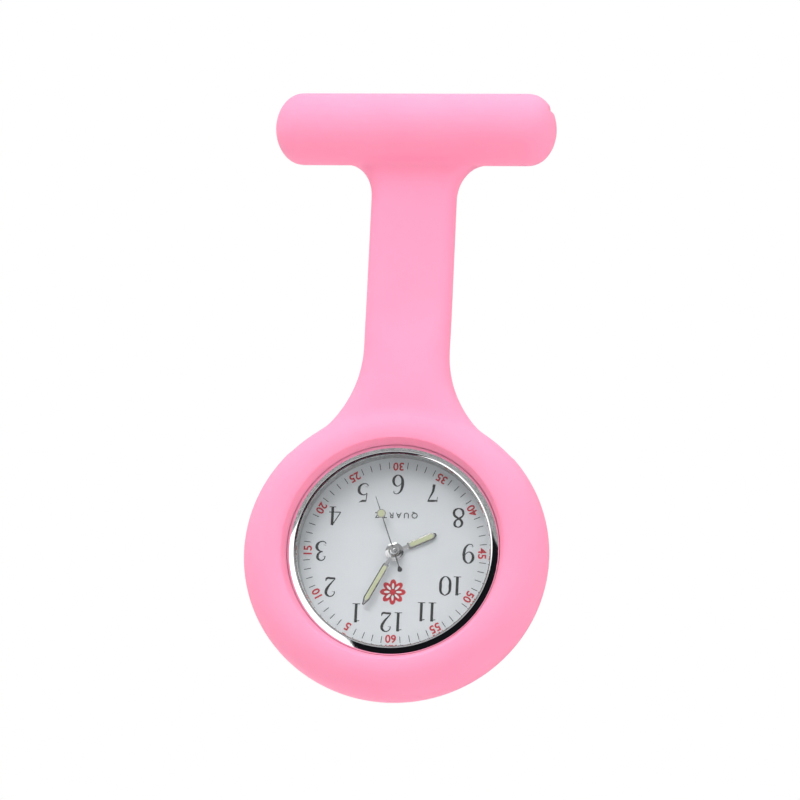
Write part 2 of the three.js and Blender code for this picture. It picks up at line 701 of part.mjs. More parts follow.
// The fourth wheel's long arbor runs forward through the cannon pinion and carries the seconds.
function fourthWheel() {
  const to = frontOf(THIRD_LEVEL) + 0.03;
  const arborProfile = [
    [0, pivotBackZ],
    [PIVOT, pivotBackZ],
    [PIVOT, bridgeFrontZ + 0.06],
    [secondArbor, bridgeFrontZ + 0.06],
    [secondArbor, secondHandZ + HAND_THICKNESS - 0.02],
    [0, secondHandZ + HAND_THICKNESS - 0.02],
  ];
  return join(
    turned(arborProfile, 8),
    wheel(SECONDS, toothTowards(FIFTH_ANGLE), levelZ(FOURTH_LEVEL)),
    gear(SLOW.pinion, SLOW.module, toothTowards(THIRD_ANGLE), frontOf(FOURTH_LEVEL), to),
  );
}

function thirdWheel() {
  const to = frontOf(CENTRE_LEVEL) + 0.03;
  const back = THIRD_ANGLE + 180;
  return join(
    arbor(),
    wheel(SLOW, gapTowards(back, SLOW.wheel), levelZ(THIRD_LEVEL)),
    gear(CENTRE.pinion, CENTRE.module, toothTowards(back), frontOf(THIRD_LEVEL), to),
  );
}

const centreTube = 0.3;
const centreBore = secondArbor + 0.05;

function centreWheel() {
  const disk = wheel(CENTRE, gapTowards(THIRD_ANGLE, CENTRE.wheel), levelZ(CENTRE_LEVEL));
  const tube = disc(centreTube, levelZ(CENTRE_LEVEL), minuteWheelZ + 0.3, 14);
  const bore = disc(centreBore, levelZ(CENTRE_LEVEL) - 1, minuteWheelZ + 1, 12);
  return cut(join(disk, tube), bore);
}

function cannonPinion() {
  const teeth = gear(MINUTE.pinion, MINUTE.module, toothTowards(MINUTE_ANGLE),
    minuteWheelZ - 0.02, minuteWheelZ + WHEEL_THICKNESS + 0.02);
  const top = minuteHandZ + HAND_THICKNESS - 0.02;
  const tube = disc(cannonRadius, minuteWheelZ, top, 16);
  const wide = disc(centreTube + 0.03, minuteWheelZ - 1, minuteWheelZ + 0.33, 14);
  const bore = disc(centreBore, minuteWheelZ - 1, top + 1, 12);
  return cut(join(teeth, tube), wide, bore);
}

function minuteWheel() {
  const back = MINUTE_ANGLE + 180;
  const from = minuteWheelZ + WHEEL_THICKNESS;
  return cut(
    join(
      wheel(MINUTE, gapTowards(back, MINUTE.wheel), minuteWheelZ),
      gear(HOUR.pinion, HOUR.module, toothTowards(back), from, from + 0.24),
    ),
    disc(ARBOR + 0.03, minuteWheelZ - 1, dialZ, 10),
  );
}

function hourWheel() {
  const tube = disc(hourTubeRadius, hourWheelZ, hourHandZ + HAND_THICKNESS - 0.02, 18);
  const bore = disc(cannonRadius + 0.03, hourWheelZ - 1, minuteHandZ, 16);
  return cut(join(wheel(HOUR, gapTowards(MINUTE_ANGLE, HOUR.wheel), hourWheelZ), tube), bore);
}

place(head, "step_rotor", stepRotor(), STEEL, rotorAt.toArray());
place(head, "fifth_wheel", fifthWheel(), BRASS, fifthAt.toArray());
place(head, "fourth_wheel", fourthWheel(), BRASS);
place(head, "third_wheel", thirdWheel(), BRASS, thirdAt.toArray());
place(head, "centre_wheel", centreWheel(), BRASS);
place(head, "cannon_pinion", cannonPinion(), STEEL);
place(head, "minute_wheel", minuteWheel(), BRASS, minuteAt.toArray());
place(head, "hour_wheel", hourWheel(), BRASS);

// ---- movement plates and electrics --------------------------------------------------------

const SCREW_RADIUS = 0.25;
const screwsAt = [new THREE.Vector2(-3.9, -2.2), new THREE.Vector2(1.2, 4.9), new THREE.Vector2(3.6, -6)];
const statorArm = 0.9;
const statorZ = levelZ(FOURTH_LEVEL) + 0.06;
const statorFrontZ = statorZ + 0.4;
const coreEnd = COIL_LENGTH / 2 + 0.5;

// Room for the crown's setting lever, which slides with the stem's groove.
const grooveX = -6.5;
const leverRoom = block(
  [grooveX - 0.7 - CROWN_PULL - GAP, -1, plateBackZ - 1],
  [grooveX + 1.3, 1.9, plateBackZ + 0.45],
);

function mainPlate() {
  const low = plateBackZ - 1;
  const rooms = [
    [new THREE.Vector2(0, 0), wheelClear],
    [fifthAt, tipRadius(FAST, FAST.wheel) + 0.25],
    [thirdAt, tipRadius(SLOW, SLOW.wheel) + 0.25],
    [rotorAt, 1.9],
  ];
  const coilRoom = block(
    [rotorAt.x, coilMidY - coreEnd - 0.8, low],
    [coilX + COIL_RADIUS + 0.25, coilMidY + coreEnd + 0.8, trainFloorZ],
  );
  const stemHole = alongX(disc(stemHoleRadius, -movementRadius - 1, 0.3 - STEM_TIP, 16));
  const body = cut(
    disc(movementRadius, plateBackZ, plateFrontZ, LARGE_ROUND),
    ...rooms.map(([at, radius]) => discAt(at, radius, low, trainFloorZ, 16)),
    discAt(batteryAt, BATTERY_RADIUS + FIT, low, batteryZ + BATTERY_THICKNESS + PLAY, MEDIUM_ROUND),
    disc(4.2, motionFloorZ, plateFrontZ + 1, 20),
    disc(cannonRadius, trainFloorZ - 1, plateFrontZ, 12),
    coilRoom,
    quartzRoom(),
    leverRoom,
    ...[fifthAt, thirdAt, rotorAt].map((at) => discAt(at, PIVOT + 0.03, low, pivotFrontZ + FIT, 8)),
    ...footAt.map((at) => discAt(at, FOOT_RADIUS + FIT, dialZ - 1, plateFrontZ + 1, 8)),
    ...screwsAt.map((at) => discAt(at, SCREW_RADIUS + PLAY, low, trainFloorZ - 0.2, 8)),
    stemHole.translate(0, 0, stemZ),
  );
  return join(body, discAt(minuteAt, ARBOR, motionFloorZ - 0.2, plateFrontZ - PLAY, 10));
}

// The quartz resonator's can lies on its side in an open pocket of the plate.
const layQuartz = (geometry) =>
  geometry
    .rotateZ(THREE.MathUtils.degToRad(QUARTZ_ANGLE - 90))
    .translate(quartzAt.x, quartzAt.y, plateBackZ + QUARTZ_RADIUS - 0.3);

const quartzCan = () =>
  layQuartz(alongX(disc(QUARTZ_RADIUS, -QUARTZ_LENGTH / 2, QUARTZ_LENGTH / 2, 16)));

function quartzRoom() {
  const radius = QUARTZ_RADIUS + FIT;
  const half = QUARTZ_LENGTH / 2 + GAP;
  const opening = block([-half, -radius, -2], [half, radius, 0]);
  return layQuartz(join(alongX(disc(radius, -half, half, 16)), opening));
}

// The bridge reaches over every pivot and its three screws, and leaves the battery's place free.
function trainBridge() {
  const corners = [screwsAt[0], screwsAt[2], rotorAt.clone().multiplyScalar(1.2), screwsAt[1]];
  const holes = (at, radius) => discAt(at, radius, bridgeZ - 1, bridgeFrontZ + 1, 8);
  return cut(
    join(
      plate(outlineOf(corners.map((at) => at.toArray())), bridgeZ, bridgeFrontZ),
      ...corners.map((at) => discAt(at, 0.9, bridgeZ, bridgeFrontZ, 12)),
    ),
    ...screwsAt.map((at) => holes(at, SCREW_RADIUS + PLAY)),
    ...[new THREE.Vector2(0, 0), fifthAt, thirdAt, rotorAt].map((at) => holes(at, PIVOT + 0.03)),
    discAt(batteryAt, BATTERY_RADIUS + 0.2, bridgeZ - 1, bridgeFrontZ + 1, MEDIUM_ROUND),
  );
}

const screw = (headZ, to) =>
  turned([[0, headZ], [0.5, headZ], [0.5, headZ + 0.18], [SCREW_RADIUS, headZ + 0.18],
    [SCREW_RADIUS, to], [0, to]], 8);

// Two soft iron arms join the rotor's tunnel to both ends of the coil's core.
function stator() {
  const arm = statorArm / 2;
  const inside = rotorAt.x + 1.6;
  const top = coilMidY + coreEnd;
  const bottom = coilMidY - coreEnd;
  const bar = (from, to) => block([...from, statorZ], [...to, statorFrontZ]);
  return cut(
    join(
      discAt(rotorAt, 1.6, statorZ, statorFrontZ),
      bar([rotorAt.x, top - arm], [coilX + 0.5, top + arm]),
      bar([inside - arm, bottom - arm], [inside + arm, rotorAt.y]),
      bar([inside - arm, bottom - arm], [coilX + 0.5, bottom + arm]),
    ),
    discAt(rotorAt, 1.05, statorZ - 1, statorFrontZ + 1),
  );
}

const coreHalf = COIL_LENGTH / 2 + 0.02;
const coilCore = alongY(disc(0.35, -coreHalf, coreHalf, 10));
const coilWinding = alongY(ring(0.38, COIL_RADIUS, -COIL_LENGTH / 2, COIL_LENGTH / 2, 20));

function circuitBoard() {
  const inner = movementRadius - 2.1;
  const outer = movementRadius - 0.3;
  const sector = [...arc([0, 0], [outer, outer], 254, 286, 4), ...arc([0, 0], [inner, inner], 286, 254, 4)];
  const board = plate(outlineOf(sector), plateBackZ - 0.25, plateBackZ - PLAY);
  const middle = polar((inner + outer) / 2, 270);
  const chip = [[-0.8, -0.5], [0.8, 0.5]].map(([x, y]) => [middle.x + x, middle.y + y]);
  return join(board, block([...chip[0], plateBackZ - 0.6], [...chip[1], plateBackZ - 0.2]));
}

// The clamp spans the battery from a screw at the movement's edge.
const clampScrewAt = polar(movementRadius - 0.9, 78);
function batteryClamp() {
  const from = caseInsideZ + 0.1;
  const to = batteryZ - PLAY;
  const reach = batteryAt.clone().sub(clampScrewAt);
  const strip = block([0, -0.7, from], [reach.length(), 0.7, to]).rotateZ(reach.angle());
  return cut(
    join(
      strip.translate(clampScrewAt.x, clampScrewAt.y, 0),
      discAt(clampScrewAt, 0.7, from, to, 16),
      discAt(batteryAt, 1.2, from, to),
    ),
    discAt(clampScrewAt, SCREW_RADIUS + PLAY, from - 1, to + 1, 10),
  );
}

function holderRing() {
  const body = turned(
    [
      [movementRadius + PLAY, plateBackZ - 0.3],
      [rimRadius - CASEBACK_RIM - FIT, plateBackZ - 0.3],
      [rimRadius - CASEBACK_RIM - FIT, rimTopZ + 0.35],
      [boreRadius - FIT, rimTopZ + 0.35],
      [boreRadius - FIT, dialZ - PLAY],
      [movementRadius + PLAY, dialZ - PLAY],
    ],
    LARGE_ROUND,
  );
  const stemHole = alongX(disc(stemHoleRadius + FIT, -boreRadius - 1, -movementRadius + 1, 16));
  return cut(body, stemHole.translate(0, 0, stemZ));
}

place(head, "main_plate", mainPlate(), BRASS);
place(head, "train_bridge", trainBridge(), STEEL);
screwsAt.forEach((at, i) => {
  place(head, `bridge_screw_${i + 1}`, screw(bridgeZ - 0.2, trainFloorZ - 0.35), STEEL, at.toArray());
});
place(head, "stator", stator(), STEEL);
place(head, "coil_core", coilCore.translate(coilX, coilMidY, coilZ), STEEL);
place(head, "coil_winding", coilWinding.translate(coilX, coilMidY, coilZ), look(0xb5651d, 0.4, 0.6));
place(head, "quartz_can", quartzCan(), STEEL);
place(head, "circuit_board", circuitBoard(), look(0x1f6b3a, 0.5, 0));
place(
  head,
  "battery",
  discAt(batteryAt, BATTERY_RADIUS, batteryZ, batteryZ + BATTERY_THICKNESS, MEDIUM_ROUND),
  STEEL,
);
place(head, "battery_clamp", batteryClamp(), STEEL);
place(head, "movement_ring", holderRing(), PLASTIC);

// ---- crown, stem and setting lever --------------------------------------------------------

const crownFloor = crownSkirt + 1.2; // bottom of the crown's hollow, which slides over the tube
const stemEnd = crownFloor + 0.55;

function crownCap() {
  const profile = [
    [0, -crownFace],
    [CROWN_RADIUS - 0.3, -crownFace],
    [CROWN_RADIUS, -crownFace + 0.3],
    [CROWN_RADIUS, -crownSkirt],
    [TUBE_RADIUS + 0.2, -crownSkirt],
    [TUBE_RADIUS + 0.2, -crownFloor],
    [STEM_RADIUS + 0.03, -crownFloor],
    [STEM_RADIUS + 0.03, -stemEnd - 0.03],
    [0, -stemEnd - 0.03],
  ];
  return alongX(turned(profile, 18)).translate(0, 0, stemZ);
}

function settingStem() {
  const profile = [
    [0, -stemEnd],
    [STEM_RADIUS, -stemEnd],
    [STEM_RADIUS, grooveX - 0.25],
    [0.25, grooveX - 0.25],
    [0.25, grooveX + 0.25],
    [STEM_RADIUS, grooveX + 0.25],
    [STEM_RADIUS, -STEM_TIP],
    [0, -STEM_TIP],
  ];
  return alongX(turned(profile, 10)).translate(0, 0, stemZ);
}

function settingLever() {
  const body = block([grooveX - 0.7, -0.7, plateBackZ], [grooveX + 1, 1.6, plateBackZ + 0.25]);
  const toothTop = stemZ - 0.25 - 0.03;
  return join(body, block([grooveX - 0.15, -0.35, plateBackZ], [grooveX + 0.15, 0.35, toothTop]));
}

const crownTube = alongX(
  ring(STEM_RADIUS + FIT, TUBE_RADIUS, -crownFloor + 0.2, -boreRadius - PLAY, 14),
).translate(0, 0, stemZ);

place(head, "crown", crownCap(), CHROME);
place(head, "setting_stem", settingStem(), STEEL);
place(head, "setting_lever", settingLever(), STEEL);
place(head, "crown_tube", crownTube, STEEL);

export default watch;
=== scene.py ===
# Fob watch: a pink silicone sleeve, a chrome watch head with an upside-down dial, and a brooch pin.
# Every piece is drawn on a bench frame in millimetres, x to the right, y up and z towards the
# reader of the dial, and is then turned into the row frame.

import math

import bmesh
import bpy
from mathutils import Matrix, Vector


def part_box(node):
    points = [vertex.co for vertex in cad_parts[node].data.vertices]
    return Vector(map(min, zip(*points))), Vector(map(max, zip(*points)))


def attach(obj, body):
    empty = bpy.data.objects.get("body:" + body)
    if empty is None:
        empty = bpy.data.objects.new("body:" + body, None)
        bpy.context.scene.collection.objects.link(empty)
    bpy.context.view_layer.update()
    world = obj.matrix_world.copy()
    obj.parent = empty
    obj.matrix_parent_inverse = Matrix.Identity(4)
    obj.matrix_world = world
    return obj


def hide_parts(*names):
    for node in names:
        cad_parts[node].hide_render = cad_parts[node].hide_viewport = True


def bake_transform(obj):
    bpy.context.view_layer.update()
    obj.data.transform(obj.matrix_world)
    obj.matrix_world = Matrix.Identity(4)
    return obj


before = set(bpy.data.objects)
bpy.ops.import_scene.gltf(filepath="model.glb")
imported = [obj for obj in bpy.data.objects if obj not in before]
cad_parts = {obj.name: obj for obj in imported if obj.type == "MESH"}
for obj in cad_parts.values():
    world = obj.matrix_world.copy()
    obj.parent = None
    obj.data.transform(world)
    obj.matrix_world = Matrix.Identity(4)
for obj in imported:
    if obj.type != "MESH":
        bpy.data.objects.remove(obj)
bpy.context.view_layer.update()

MM = 0.001
BENCH_TO_ROW = Matrix.Rotation(math.pi / 2, 4, "X") @ Matrix.Scale(MM, 4)
FULL_TURN = 2 * math.pi


def bench_box(node):
    """A CAD node's lowest and highest corners on the bench frame."""
    low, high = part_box(node)
    return Vector((low.x, low.z, -high.y)) / MM, Vector((high.x, high.z, -low.y)) / MM


def half_width(node):
    low, high = bench_box(node)
    return (high.x - low.x) / 2


def back_of(node):
    return bench_box(node)[0].z


def front_of(node):
    return bench_box(node)[1].z


# ---- sizes taken from the frame -----------------------------------------------------------

HEAD_Y = (bench_box("bezel")[0].y + bench_box("bezel")[1].y) / 2
HEAD_R = half_width("sleeve_pocket")
SLEEVE_BACK = back_of("sleeve_pocket")
SLEEVE_CREST = front_of("sleeve_pocket")
BEZEL_R = half_width("bezel")
BEZEL_BACK = back_of("bezel")
BEZEL_FRONT = front_of("bezel")
CASE_R = half_width("case_ring")
BORE_R = half_width("crystal_gasket") + 0.05
CRYSTAL_R = half_width("crystal")
CRYSTAL_BACK = back_of("crystal")
CRYSTAL_FRONT = front_of("crystal")
DIAL_R = half_width("dial")
DIAL_FRONT = front_of("dial")
CASEBACK_R = half_width("caseback")
BAR_HALF = half_width("sleeve_brooch_bar")
BAR_R = bench_box("sleeve_brooch_bar")[1].y
BAR_Z = front_of("sleeve_brooch_bar") - BAR_R
STRIP_LOW, STRIP_HIGH = bench_box("pin_base")
HINGE_X = (bench_box("hinge_rivet")[0].x + bench_box("hinge_rivet")[1].x) / 2
CATCH_LOW, CATCH_HIGH = bench_box("catch_collar")
CATCH_X = (CATCH_LOW.x + CATCH_HIGH.x) / 2


# ---- mesh tools ---------------------------------------------------------------------------


def turned(profile, steps=128):
    """A solid of revolution about z from [radius, depth] points, closed between last and first."""
    bm = bmesh.new()
    verts = [bm.verts.new((radius, 0, depth)) for radius, depth in profile]
    edges = [bm.edges.new(pair) for pair in zip(verts, verts[1:])]
    if all(radius > 0 for radius, _ in profile):
        edges.append(bm.edges.new((verts[-1], verts[0])))
    bmesh.ops.spin(
        bm, geom=verts + edges, cent=(0, 0, 0), axis=(0, 0, 1),
        angle=FULL_TURN, steps=steps, use_merge=True,
    )
    bmesh.ops.remove_doubles(bm, verts=bm.verts, dist=1e-4)
    bmesh.ops.recalc_face_normals(bm, faces=bm.faces)
    return bm


def band(inner, outer, low, high):
    """The profile of a plain ring, or of a disc where the inner radius is nothing."""
    return [(inner, low), (outer, low), (outer, high), (inner, high)]


def slab(outline, low, high):
    """A flat plate from an outline in x and y."""
    bm = bmesh.new()
    face = bm.faces.new([bm.verts.new((x, y, low)) for x, y in outline])
    grown = bmesh.ops.extrude_face_region(bm, geom=[face])["geom"]
    raised = [item for item in grown if isinstance(item, bmesh.types.BMVert)]
    bmesh.ops.translate(bm, vec=(0, 0, high - low), verts=raised)
    bmesh.ops.recalc_face_normals(bm, faces=bm.faces)
    return bm


def block(low, high):
    bm = bmesh.new()
    low, high = Vector(low), Vector(high)
    size = Matrix.Diagonal((high - low).to_4d())
    bmesh.ops.create_cube(bm, size=1, matrix=Matrix.Translation((low + high) / 2) @ size)
    return bm


def moved(bm, x=0, y=0, z=0):
    bmesh.ops.translate(bm, vec=(x, y, z), verts=bm.verts)
    return bm


def rotated(bm, degrees, axis):
    turn = Matrix.Rotation(math.radians(degrees), 3, axis)
    bmesh.ops.rotate(bm, cent=(0, 0, 0), matrix=turn, verts=bm.verts)
    return bm


def along_x(bm):
    return rotated(bm, 90, "Y")


def along_y(bm):
    return rotated(bm, -90, "X")


def gathered(*parts):
    """Several meshes as one, each still closed by itself."""
    bm = bmesh.new()
    for part in parts:
        mesh = bpy.data.meshes.new("part")
        part.to_mesh(mesh)
        part.free()
        bm.from_mesh(mesh)
        bpy.data.meshes.remove(mesh)
    return bm


def softened(bm, width, segments=2):
    """Bevels every crisp edge."""
    crisp = math.radians(40)
    edges = [e for e in bm.edges if len(e.link_faces) == 2 and e.calc_face_angle(0) > crisp]
    bmesh.ops.bevel(
        bm, geom=edges, offset=width, offset_type="OFFSET", affect="EDGES", segments=segments,
        profile=0.5, clamp_overlap=True, material=-1,
    )
    return bm


def linked(name, data):
    """A new object at the origin, in the scene."""
    ob = bpy.data.objects.new(name, data)
    bpy.context.scene.collection.objects.link(ob)
    return ob


def loose_object(bm):
    mesh = bpy.data.meshes.new("loose")
    bm.to_mesh(mesh)
    bm.free()
    return linked("loose", mesh)


def with_modifier(bm, kind, **settings):
    """A mesh after one modifier, applied."""
    ob = loose_object(bm)
    modifier = ob.modifiers.new(kind, kind)
    for name, value in settings.items():
        setattr(modifier, name, value)
    depsgraph = bpy.context.evaluated_depsgraph_get()
    result = bmesh.new()
    mesh = bpy.data.meshes.new_from_object(ob.evaluated_get(depsgraph))
    result.from_mesh(mesh)
    bpy.data.meshes.remove(mesh)
    bpy.data.objects.remove(ob)
    return result


def carved(bm, *cutters):
    for cutter in cutters:
        tool = loose_object(cutter)
        bm = with_modifier(bm, "BOOLEAN", operation="DIFFERENCE", object=tool, solver="EXACT")
        bpy.data.objects.remove(tool)
    return bm


def arc(centre, radii, start, end, steps):
    """Points on an arc of an ellipse, angles in degrees, both ends included."""
    angles = [math.radians(start + (end - start) * i / steps) for i in range(steps + 1)]
    (x, y), (across, up) = centre, radii
    return [(x + across * math.cos(a), y + up * math.sin(a)) for a in angles]


def smooth_step(value):
    value = min(max(value, 0), 1)
    return value * value * (3 - 2 * value)


def piece(name, bm, body, materials, replaces=(), sharp=35):
    """A finished piece in the row frame, riding on its body."""
    bmesh.ops.transform(bm, matrix=BENCH_TO_ROW, verts=bm.verts)
    bmesh.ops.recalc_face_normals(bm, faces=bm.faces)
    mesh = bpy.data.meshes.new(name)
    bm.to_mesh(mesh)
    bm.free()
    for material in materials:
        mesh.materials.append(material)
    mesh.shade_smooth()
    mesh.set_sharp_from_angle(angle=math.radians(sharp))
    ob = linked(name, mesh)
    if body:
        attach(ob, body)
    if replaces:
        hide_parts(*replaces)
    return ob


# ---- node tools and shared effects --------------------------------------------------------


class Nodes:
    """Adds and links nodes in one tree."""

    def __init__(self, tree):
        self.tree = tree

    def add(self, kind, inputs=None, **settings):
        node = self.tree.nodes.new(kind)
        for name, value in settings.items():
            setattr(node, name, value)
        for key, value in (inputs or {}).items():
            self.feed(node.inputs[key], value)
        return node

    def feed(self, socket, value):
        if isinstance(value, bpy.types.NodeSocket):
            self.tree.links.new(value, socket)
        else:
            socket.default_value = value

    def math(self, operation, a, b):
        return self.add("ShaderNodeMath", {0: a, 1: b}, operation=operation).outputs[0]

    def ramp(self, value, low, high, to_low=0.0, to_high=1.0):
        names = ("Value", "From Min", "From Max", "To Min", "To Max")
        inputs = dict(zip(names, (value, low, high, to_low, to_high)))
        return self.add("ShaderNodeMapRange", inputs).outputs["Result"]

    def mix(self, factor, a, b):
        node = self.add("ShaderNodeMix", data_type="RGBA")
        for place, value in ((0, factor), (6, a), (7, b)):
            self.feed(node.inputs[place], value)
        return node.outputs[2]

    def noise(self, vector, scale, detail=2.0, roughness=0.5):
        inputs = {"Vector": vector, "Scale": scale, "Detail": detail, "Roughness": roughness}
        return self.add("ShaderNodeTexNoise", inputs).outputs["Fac"]

    def stretched(self, vector, scale, turn=(0, 0, 0)):
        inputs = {"Vector": vector, "Scale": scale, "Rotation": turn}
        return self.add("ShaderNodeMapping", inputs).outputs["Vector"]


def effect(name, inputs, outputs, build):
    """A shader node group. build(nodes, given) returns the value of each output."""
    tree = bpy.data.node_groups.new(name, "ShaderNodeTree")
    for label, kind, value in inputs:
        socket = tree.interface.new_socket(label, in_out="INPUT", socket_type=kind)
        if value is not None:
            socket.default_value = value
    for label, kind in outputs:
        tree.interface.new_socket(label, in_out="OUTPUT", socket_type=kind)
    nodes = Nodes(tree)
    given = nodes.add("NodeGroupInput").outputs
    end = nodes.add("NodeGroupOutput")
    for label, value in build(nodes, given).items():
        nodes.feed(end.inputs[label], value)
    return tree


FLOAT, VECTOR = "NodeSocketFloat", "NodeSocketVector"


def build_moulded_skin(nodes, given):
    """Fine pebbled skin of a moulded surface, with slow cloudy drift."""
    pebble = nodes.noise(given["Vector"], given["Scale"], 3.0, 0.6)
    cloud = nodes.noise(given["Vector"], given["Cloud scale"], 2.0, 0.5)
    return {"Height": pebble, "Cloud": nodes.ramp(cloud, 0.35, 0.65)}


def build_fine_scratches(nodes, given):
    """Hairline marks in three directions."""
    total = 0.0
    for angle in (0.3, 1.4, 2.5):
        line = nodes.stretched(given["Vector"], (1.0, 0.02, 0.02), (angle, angle * 0.7, angle))
        mark = nodes.ramp(nodes.noise(line, given["Scale"], 1.0, 0.4), 0.62, 0.7)
        total = nodes.math("MAXIMUM", total, mark)
    patch = nodes.ramp(nodes.noise(given["Vector"], given["Patch scale"]), 0.4, 0.7)
    return {"Mask": nodes.math("MULTIPLY", total, patch)}


def build_dust(nodes, given):
    """Sparse tiny specks."""
    cells = nodes.add("ShaderNodeTexVoronoi", {"Vector": given["Vector"], "Scale": given["Scale"]})
    near = nodes.ramp(cells.outputs["Distance"], 0.08, 0.04)
    pick = nodes.add("ShaderNodeSeparateColor", {"Color": cells.outputs["Color"]}).outputs[0]
    kept = nodes.math("LESS_THAN", pick, given["Share"])
    return {"Mask": nodes.math("MULTIPLY", near, kept)}


def build_turned_rings(nodes, given):
    """Concentric tool marks about the dial's axis."""
    parts = nodes.add("ShaderNodeSeparateXYZ", {"Vector": given["Vector"]}).outputs
    flat = nodes.add("ShaderNodeCombineXYZ", {"X": parts["X"], "Y": parts["Z"]}).outputs[0]
    radius = nodes.add("ShaderNodeVectorMath", {0: flat}, operation="LENGTH").outputs["Value"]
    ring = nodes.add("ShaderNodeCombineXYZ", {"X": radius}).outputs[0]
    return {"Height": nodes.noise(ring, given["Scale"], 4.0, 0.7)}


MOULDED_SKIN = effect(
    "moulded_skin",
    [("Vector", VECTOR, None), ("Scale", FLOAT, 4000.0), ("Cloud scale", FLOAT, 60.0)],
    [("Height", FLOAT), ("Cloud", FLOAT)],
    build_moulded_skin,
)
FINE_SCRATCHES = effect(
    "fine_scratches",
    [("Vector", VECTOR, None), ("Scale", FLOAT, 9000.0), ("Patch scale", FLOAT, 300.0)],
    [("Mask", FLOAT)],
    build_fine_scratches,
)
DUST = effect(
    "dust",
    [("Vector", VECTOR, None), ("Scale", FLOAT, 900.0), ("Share", FLOAT, 0.08)],
    [("Mask", FLOAT)],
    build_dust,
)
TURNED_RINGS = effect(
    "turned_rings",
    [("Vector", VECTOR, None), ("Scale", FLOAT, 4000.0)],
    [("Height", FLOAT)],
    build_turned_rings,
)


def new_material(name):
    material = bpy.data.materials.new(name)
    material.use_nodes = True
    material.node_tree.nodes.clear()
    nodes = Nodes(material.node_tree)
    shader = nodes.add("ShaderNodeBsdfPrincipled")
    output = nodes.add("ShaderNodeOutputMaterial")
    nodes.feed(output.inputs["Surface"], shader.outputs[0])
    place = nodes.add("ShaderNodeTexCoord").outputs["Object"]
    return material, nodes, shader, place


def use(nodes, tree, **inputs):
    node = nodes.add("ShaderNodeGroup", node_tree=tree)
    for label, value in inputs.items():
        nodes.feed(node.inputs[label.replace("_", " ").capitalize()], value)
    return node.outputs


def bumped(nodes, shader, height, distance, strength=1.0):
    inputs = {"Height": height, "Distance": distance, "Strength": strength}
    bump = nodes.add("ShaderNodeBump", inputs)
    nodes.feed(shader.inputs["Normal"], bump.outputs["Normal"])


def settle(nodes, shader, **values):
    for label, value in values.items():
        nodes.feed(shader.inputs[label.replace("_", " ")], value)


# ---- materials ----------------------------------------------------------------------------


def silicone_finish():
    material, nodes, shader, place = new_material("pink_silicone")
    skin = use(nodes, MOULDED_SKIN, vector=place, scale=5200.0, cloud_scale=70.0)
    dust = use(nodes, DUST, vector=place, scale=700.0, share=0.02)["Mask"]
    pink = nodes.mix(skin["Cloud"], (1.0, 0.300, 0.458, 1), (1.0, 0.316, 0.475, 1))
    pink = nodes.mix(nodes.math("MULTIPLY", dust, 0.35), pink, (1.0, 0.62, 0.76, 1))
    rough = nodes.ramp(skin["Height"], 0.3, 0.7, 0.5, 0.62)
    settle(nodes, shader, Base_Color=pink, Roughness=rough, Specular_IOR_Level=0.2)
    settle(nodes, shader, Subsurface_Weight=0.25, Subsurface_Scale=0.0012)
    settle(nodes, shader, Subsurface_Radius=(1.0, 0.35, 0.45))
    bumped(nodes, shader, skin["Height"], 0.00002)
    return material


def darker(color, share):
    return tuple(share * channel for channel in color[:3]) + (1,)


def polished_metal(name, color, low, high, scale=9000.0):
    material, nodes, shader, place = new_material(name)
    marks = use(nodes, FINE_SCRATCHES, vector=place, scale=scale, patch_scale=300.0)["Mask"]
    smear = nodes.ramp(nodes.noise(place, 260.0, 3.0), 0.4, 0.7)
    worn, greasy = nodes.math("MULTIPLY", marks, 0.8), nodes.math("MULTIPLY", smear, 0.4)
    wear = nodes.math("MAXIMUM", worn, greasy)
    settle(nodes, shader, Roughness=nodes.ramp(wear, 0.0, 1.0, low, high), Metallic=1.0)
    settle(nodes, shader, Base_Color=nodes.mix(marks, color, darker(color, 0.9)))
    bumped(nodes, shader, marks, 0.000002, 0.4)
    return material


def turned_metal(name, color, low, high):
    """Metal with its tool marks in rings about the dial's axis."""
    material, nodes, shader, place = new_material(name)
    inputs = {"Vector": place, "Location": (0, 0, -HEAD_Y * MM)}
    centre = nodes.add("ShaderNodeMapping", inputs).outputs["Vector"]
    rings = use(nodes, TURNED_RINGS, vector=centre, scale=5000.0)
    marks = use(nodes, FINE_SCRATCHES, vector=place, scale=7000.0, patch_scale=220.0)["Mask"]
    rough = nodes.ramp(rings["Height"], 0.3, 0.7, low, high)
    rough = nodes.math("ADD", rough, nodes.math("MULTIPLY", marks, 0.1))
    settle(nodes, shader, Roughness=rough, Metallic=1.0)
    settle(nodes, shader, Base_Color=nodes.mix(rings["Height"], color, darker(color, 0.82)))
    bumped(nodes, shader, rings["Height"], 0.000012, 0.7)
    return material


def drawn_metal(name, color, low, high, stretch=(0.03, 1.0, 1.0)):
    """Metal with its grain along one way."""
    material, nodes, shader, place = new_material(name)
    grain = nodes.noise(nodes.stretched(place, stretch), 16000.0, 3.0, 0.6)
    marks = use(nodes, FINE_SCRATCHES, vector=place, scale=8000.0, patch_scale=400.0)["Mask"]
    rough = nodes.ramp(grain, 0.3, 0.7, low, high)
    rough = nodes.math("ADD", rough, nodes.math("MULTIPLY", marks, 0.12))
    settle(nodes, shader, Roughness=rough, Metallic=1.0)
    settle(nodes, shader, Base_Color=nodes.mix(grain, color, darker(color, 0.85)))
    bumped(nodes, shader, grain, 0.000008, 0.6)
    return material


